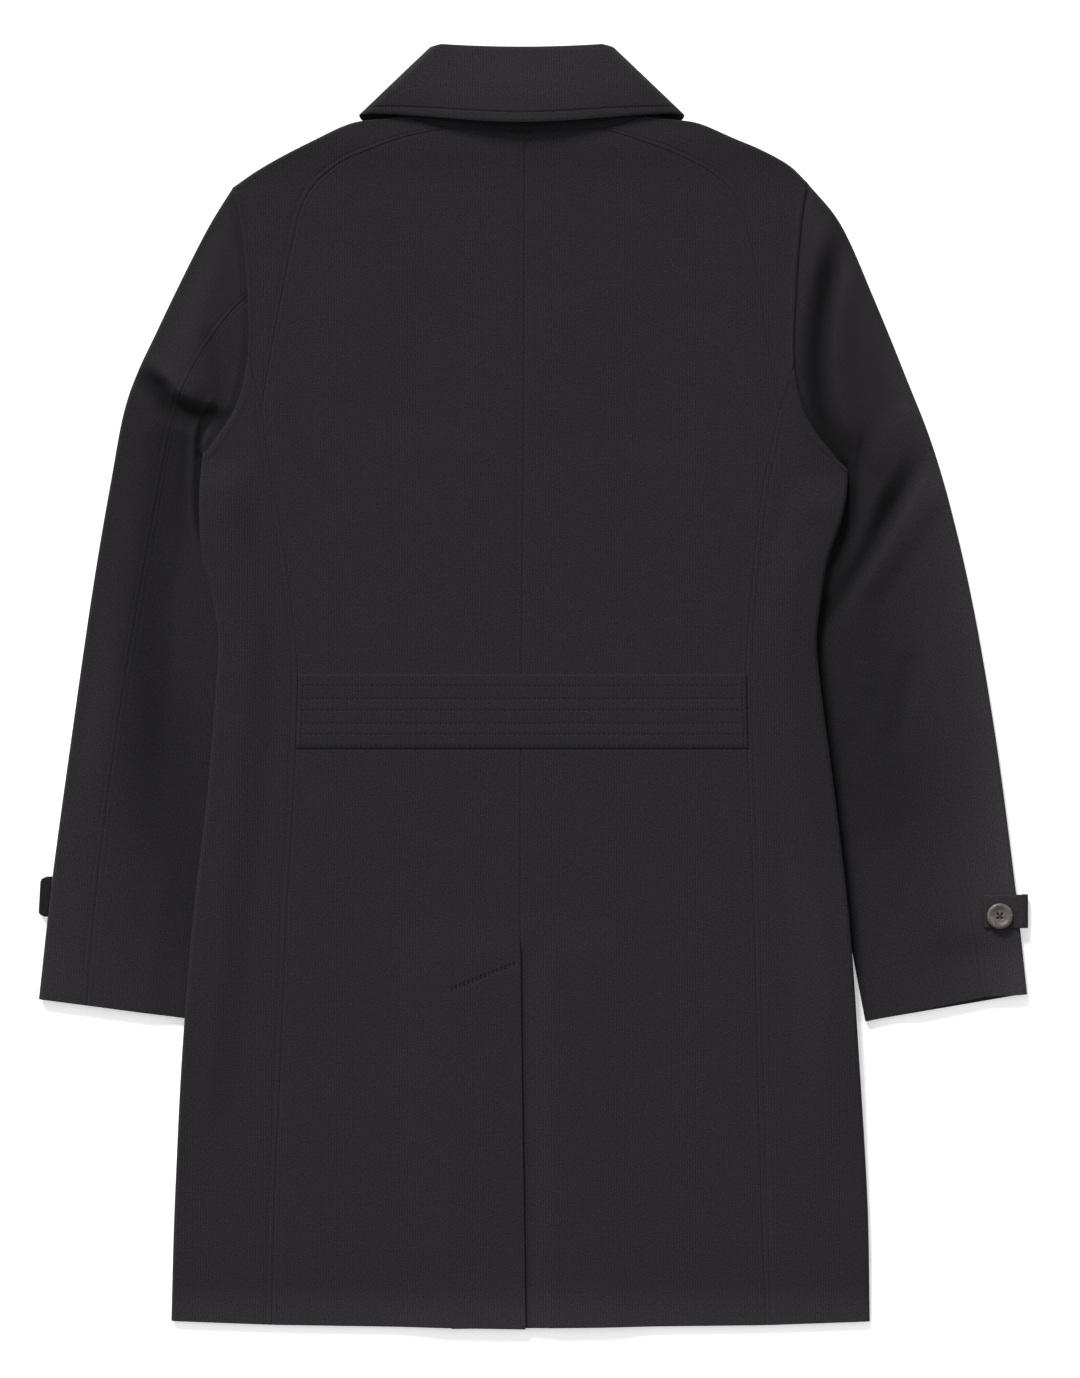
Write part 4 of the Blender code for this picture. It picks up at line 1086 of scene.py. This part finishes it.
def collar_fall():
    """Fall of the collar: across the back, round both slanted folds and on to short wings below."""
    slant = Vector((FALL_TOP_HALF - FALL_LOW_HALF, FALL_TOP_Y - FALL_LOW_Y))
    inward = Vector((-slant.y, slant.x)).normalized()
    inward = inward if inward.x < 0 else -inward
    reach = FALL_FACE / 2
    low_corner = Vector((FALL_LOW_HALF, FALL_LOW_Y))

    def low_edge(x):
        """Lower edge of the fall, deepest at the centre back."""
        rise = math.sin(min(abs(x) / FALL_EDGE_RUN, 1) * QUARTER) ** 2
        return mix(FALL_EDGE_Y, FALL_LOW_Y, rise)

    def slanted(e):
        """Lower and upper end of a line at distance e inside the slanted fold."""
        low = low_corner + inward * e
        for _ in range(6):
            low += slant * ((low_edge(low.x) - low.y) / slant.y)
        drop = FALL_CORNER_DROP * max(1 - e / reach, 0)
        high = low + slant * ((FALL_TOP_Y - drop - low.y) / slant.y)
        return low, high

    sections = []
    for e in even(WING, reach, 5):
        low, high = slanted(e)
        sections.append((low + WING_DROP, high, 0, 0))
    for turn in even(-FALL_TURN, FALL_TURN, 16):
        low, high = slanted(reach * (1 - math.cos(turn)))
        low += WING_DROP * max(-math.sin(turn), 0)
        sections.append((low, high, reach + reach * math.sin(turn), max(math.sin(turn), 0)))
    turned = len(sections)
    flat_low, flat_high = slanted(reach)
    for t in even(1, 0, 44)[:-1]:
        low = Vector((flat_low.x * t, low_edge(flat_low.x * t)))
        high = Vector((flat_high.x * t, roll_line(COLLAR_X + flat_high.x * t)))
        sections.append((low, high, FALL_FACE, 1))

    def wall_row(section, mirror):
        low, high, z, rolled = section
        length = (high - low).length
        way = (high - low) / length
        middle = rolled * math.cos(QUARTER * min(abs(low.x) / FALL_LOW_HALF, 1)) ** 2
        row = []
        stops = [s / length for s in FALL_STOPS]
        stops += even(FALL_PLAIN_START / length, 1 - STAND_ROLL / length, 16)
        for t in stops:
            away = t * length
            crown = FALL_CROWN * math.sin(math.pi * t) * rolled + FALL_EDGE_LIFT * middle * (1 - t) ** 2
            rounded = FALL_EDGE_ROLL * (1 - ease(away / FALL_EDGE_ROLL_WIDTH))
            rounded += FALL_STITCH_GROOVE * ease(1 - abs(away - FALL_STITCH) / STITCH_GROOVE_WIDTH)
            row.append(lift(low.lerp(high, t), z + crown - rounded * rolled))
        for angle in even(QUARTER, mix(WING_ROLL_END, FALL_ROLL_END, rolled), 10)[1:]:
            back = STAND_ROLL * (1 - math.cos(angle))
            drop = STAND_ROLL * (1 - math.sin(angle)) * rolled
            row.append(lift(high - way * back, z - drop))
        return [Vector((COLLAR_X + mirror * p.x, p.y, p.z)) for p in row]

    rows = [wall_row(s, -1) for s in sections]
    rows.append(wall_row((Vector((0, FALL_EDGE_Y)), Vector((0, roll_line(COLLAR_X))), FALL_FACE, 1), 1))
    rows += [wall_row(s, 1) for s in reversed(sections)]
    # Painted light: the fall is lighter towards its roll at the top
    painted_light_and_shade = [[1 + COLLAR_PAINTED_LIGHT * ease((p.y - FALL_LOW_Y) / COLLAR_PAINTED_LIGHT_LENGTH) for p in row] for row in rows]
    fall = cloth("collar_fall", rows, wall=FALL_WALL, straight=True, nap=painted_light_and_shade)
    on_stitch = FALL_STOPS.index(FALL_STITCH)
    run = [row[on_stitch] + UP * COLLAR_STITCH_RISE for row in rows[turned + 1:-turned - 1]]
    return fall, run


def collar_stand():
    """Stand of the collar, from the neck seam up under the fall to the roll."""
    left_end, right_end = Vector(SHOULDER["left"][-1]), Vector(SHOULDER["right"][-1])
    left_neck, right_neck = Vector(YOKE_SEAM["left"][-1]), Vector(YOKE_SEAM["right"][-1])
    middle = Vector(NECK_CENTRE)
    lows = [left_end, left_neck, left_neck.lerp(middle, 0.5), middle]
    lows += [middle.lerp(right_neck, 0.5), right_neck, right_end]
    low_at = stations(lows)
    face = NECK_LIFT + BODY_LOFT
    steps = PANEL_STEPS["collar_stand"]
    last = len(lows) - 1
    rows = []
    for key in even(0, last, 60):
        low = Vector(low_at(key))
        x = COLLAR_X + STAND_HALF * (2 * key / last - 1)
        high = Vector((x, roll_line(x)))
        way = (high - low).normalized()
        low -= way * STAND_TUCK
        rows.append([lift(p, face - STAND_DIP) for p in across(low, low.lerp(high, STAND_SHARE), steps)])
    return cloth("collar_stand", rows, wall=STAND_WALL)


def half_belt():
    """Half belt across the back waist, with grooves along its rows of stitching."""
    rows = []
    heights = [BELT_BOTTOM + s * 0.6 for s in EDGE_STEPS[:4]]
    heights += even(BELT_BOTTOM + 2, BELT_TOP - 2, 74)
    heights += [BELT_TOP - s * 0.6 for s in reversed(EDGE_STEPS[:4])]
    for y in heights:
        left = Vector((side_seam("left", y) + SEAM_INSET, y))
        right = Vector((side_seam("right", y) - SEAM_INSET, y))
        points = []
        for p in across(left, right, PANEL_STEPS["half_belt"]):
            edge = min(y - BELT_BOTTOM, BELT_TOP - y, p.x - left.x, right.x - p.x)
            groove = max(ease(1 - abs(y - line) / BELT_GROOVE_WIDTH) for line in BELT_ROWS)
            from_end = min(p.x - left.x, right.x - p.x)
            ends = ease(1 - abs(from_end - BELT_END_STITCH) / BELT_END_GROOVE_WIDTH)
            sunk = BELT_GROOVE * max(groove, ends) + BELT_EDGE_ROLL * (1 - ease(edge / BELT_EDGE_ROLL_WIDTH))
            points.append(lift(p, body_high("left", p) + BELT_RISE - sunk))
        rows.append(points)
    return cloth("half_belt", rows, wall=BELT_WALL)


def sleeve_edge(side, y):
    """Outer edge of the sleeve near the cuff, at height y."""
    low, high = SLEEVE[side][0], SLEEVE[side][1]
    return mix(low[0], high[0], (y - low[1]) / (high[1] - low[1]))


def loop_row(y, inner_x, outer_x, top, closed_end, sunk):
    """One section of a tab: a top leg, a round turn and, if closed, a lower leg back to the same place."""
    way = 1 if outer_x > inner_x else -1
    radius = top / 2
    turn_x = outer_x - way * radius
    row = [Vector((mix(inner_x, turn_x, t), y, top - sunk)) for t in even(0, 1, 12)]
    for angle in even(QUARTER, -QUARTER, 14)[1:]:
        x = turn_x + radius * way * math.cos(angle)
        row.append(Vector((x, y, radius + (radius - sunk) * math.sin(angle))))
    if closed_end:
        row += [Vector((mix(turn_x, inner_x, t), y, 0)) for t in even(0, 1, 4)[1:]]
    return row


# The tab's painted light and shade, the same over the whole tab
def even_painted_light_and_shade(rows, side):
    return [[TAB_PAINTED_LIGHT_AND_SHADE[side]] * len(row) for row in rows]


def cuff_tabs():
    """Strap tabs at the outer edge of each cuff: the right one lies over the sleeve's face."""
    tab_top = BODY_LOFT + SEAM_GAP + TAB_WALL
    low_y, high_y, inner_x, outer_x = TAB_RIGHT
    rows = []
    for t in even(0, 1, TAB_ROWS):
        y = mix(low_y, high_y, t)
        near = min(t, 1 - t) * (high_y - low_y)
        sunk = TAB_EDGE_ROLL["right"] * (1 - ease(near / TAB_EDGE_WIDTH))
        sunk += TAB_GROOVE * ease(1 - abs(near - TAB_STITCH) / TAB_GROOVE_WIDTH)
        rows.append(loop_row(y, inner_x, outer_x, tab_top, False, sunk))
    right = cloth("cuff_tab_right", rows, wall=TAB_WALL, nap=even_painted_light_and_shade(rows, "right"))
    low_y, high_y, outer_x, top = TAB_LEFT
    rows = []
    for t in even(0, 1, TAB_ROWS):
        y = mix(low_y, high_y, t)
        near = min(t, 1 - t) * (high_y - low_y)
        sunk = TAB_EDGE_ROLL["left"] * (1 - ease(near / TAB_EDGE_WIDTH))
        inside = max(TAB_LEFT_CORNER - near, 0)
        cut = TAB_LEFT_CORNER - math.sqrt(TAB_LEFT_CORNER ** 2 - inside ** 2)
        turned = outer_x + TAB_LEFT_TAPER * t + cut
        rows.append(loop_row(y, sleeve_edge("left", y) - 2 * SEAM_GAP, turned, top, True, sunk))
    left = cloth("cuff_tab_left", rows, wall=TAB_LEFT_WALL, nap=even_painted_light_and_shade(rows, "left"))
    return left, right, tab_top


def cuff_button(seat):
    """Four-hole horn button: a turned profile with drilled holes and crossed thread."""
    form = bmesh.new()
    points = [form.verts.new((r * MM, 0, z * MM)) for r, z in BUTTON_PROFILE]
    edges = [form.edges.new(pair) for pair in zip(points, points[1:])]
    bmesh.ops.spin(form, geom=points + edges, cent=(0, 0, 0), axis=(0, 0, 1), angle=math.tau, steps=64,
                   use_merge=True)
    bmesh.ops.remove_doubles(form, verts=form.verts, dist=1e-6)
    bmesh.ops.recalc_face_normals(form, faces=form.faces)
    # The spin lists its faces in a new order each run, so they are sorted, for the same mesh every time
    form.faces.sort(key=lambda face: face.calc_center_median().dot(SORT_WAY))
    bmesh.ops.translate(form, verts=form.verts, vec=Vector((*BUTTON, seat + SEAM_GAP)) * MM)
    button = add_piece("cuff_button_horn", form, button_horn)
    drills = []
    for k in range(BUTTON_HOLES):
        angle = math.tau * (k + 0.5) / BUTTON_HOLES
        away = Vector((math.cos(angle), math.sin(angle))) * HOLE_CIRCLE
        spot = lift(Vector(BUTTON) + away, seat) * MM
        drill = bmesh.new()
        bmesh.ops.create_cone(drill, cap_ends=True, segments=20, radius1=HOLE_RADIUS * MM,
                              radius2=HOLE_RADIUS * MM, depth=DRILL_LENGTH * MM,
                              matrix=Matrix.Translation(spot))
        mesh = bpy.data.meshes.new("drill")
        drill.to_mesh(mesh)
        drill.free()
        tool = bpy.data.objects.new("drill", mesh)
        bpy.context.scene.collection.objects.link(tool)
        drills.append(tool)
        hole = button.modifiers.new("hole", "BOOLEAN")
        hole.operation = "DIFFERENCE"
        hole.object = tool
    bpy.context.view_layer.update()
    drilled = bpy.data.meshes.new_from_object(button.evaluated_get(bpy.context.evaluated_depsgraph_get()))
    button.modifiers.clear()
    button.data = drilled
    for tool in drills:
        bpy.data.objects.remove(tool)
    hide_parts("cuff_button_right")
    top = seat + SEAM_GAP + THREAD_HEIGHT
    runs = []
    for way in (Vector((1, 1)), Vector((1, -1))):
        half = way * THREAD_REACH
        runs.append((lift(Vector(BUTTON) - half, top), lift(Vector(BUTTON) + half, top)))
    thread = stitches("cuff_button_thread", runs, BUTTON_STITCH, button_thread)


pieces = {}
for side in SIDES:
    pieces["back_" + side] = back_panel(side)
    pieces["side_back_" + side] = side_back_panel(side)
    pieces["yoke_" + side] = yoke_panel(side)
    pieces["front_" + side] = front_panel(side)
    pieces["top_sleeve_" + side], pieces["under_sleeve_" + side] = sleeve_panels(side)
pieces["collar_fall"], collar_run = collar_fall()
pieces["collar_stand"] = collar_stand()
pieces["half_belt"] = half_belt()
pieces["cuff_tab_left"], pieces["cuff_tab_right"], tab_seat = cuff_tabs()
cuff_button(tab_seat)


# Sewing that shows
def on_belt(x, y):
    p = Vector((x, y))
    return lift(p, body_high("left", p) + BELT_RISE - STITCH_SINK)


def belt_runs():
    """Rows of stitching along the half belt and one run up each end."""
    runs = []
    for y in BELT_ROWS:
        left, right = side_seam("left", y), side_seam("right", y)
        runs.append([on_belt(x, y) for x in even(left + 2, right - 2, 30)])
    for side in SIDES:
        heights = even(BELT_BOTTOM + 2, BELT_TOP - 2, 6)
        runs.append([on_belt(side_seam(side, y) + BELT_END_STITCH * SIGN[side], y) for y in heights])
    return runs


def vent_runs():
    """Two rows of stitching on the slant at the vent's top."""
    runs = []
    for shift in (-VENT_STITCH_OFFSET, VENT_STITCH_OFFSET):
        beside = Vector((0, shift))
        spots = [VENT_STITCH_START.lerp(VENT_STITCH_END, t) + beside for t in even(0.04, 0.98, 8)]
        runs.append([lift(p, body_high("left", p) - STITCH_SINK) for p in spots])
    return runs


belt_stitching = stitches("half_belt_stitching", belt_runs(), BELT_STITCH, sewing_thread)
collar_stitching = stitches("collar_stitching", [collar_run], COLLAR_STITCH, sewing_thread)
vent_stitching = stitches("vent_stitching", vent_runs(), VENT_STITCH, painted_shade_thread)

# Floor, light and camera
form = bmesh.new()
bmesh.ops.create_grid(form, x_segments=1, y_segments=1, size=FLOOR_HALF)
bmesh.ops.translate(form, verts=form.verts, vec=(0, 0, -FLOOR_DROP))
floor_mesh = bpy.data.meshes.new("floor")
form.to_mesh(floor_mesh)
form.free()
floor = bpy.data.objects.new("floor", floor_mesh)
bpy.context.scene.collection.objects.link(floor)
paper, _, _ = new_finish("white_paper", {
    "Base Color": (0.92, 0.92, 0.925, 1), "Roughness": 0.9, "Specular IOR Level": 0.1,
    "Emission Color": (1, 1, 1, 1), "Emission Strength": 0.35,
})
floor.data.materials.append(paper)


def soft_light(name, way, spread, strength):
    """A far, soft light that shines from a direction."""
    lamp = bpy.data.lights.new(name, "SUN")
    lamp.angle = math.radians(spread)
    lamp.energy = strength
    light = bpy.data.objects.new(name, lamp)
    light.rotation_euler = (-Vector(way)).to_track_quat("-Z", "Y").to_euler()
    bpy.context.scene.collection.objects.link(light)


soft_light("top_light", (-0.4, 1, 0.6), 16, 4.3)
soft_light("left_light", (-1, 0.2, 0.6), 30, 0.7)
soft_light("right_light", (1, 0.2, 0.6), 30, 0.5)
world = bpy.data.worlds.new("studio")
world.use_nodes = True
world.node_tree.nodes["Background"].inputs["Color"].default_value = (1, 1, 1, 1)
world.node_tree.nodes["Background"].inputs["Strength"].default_value = 0.4
bpy.context.scene.world = world
bpy.context.scene.view_settings.view_transform = "Standard"

camera = bpy.data.objects.new("camera", bpy.data.cameras.new("camera"))
camera.data.lens = 85
camera.data.sensor_width = 36
camera.location = CAMERA_PLACE
bpy.context.scene.collection.objects.link(camera)
bpy.context.scene.camera = camera
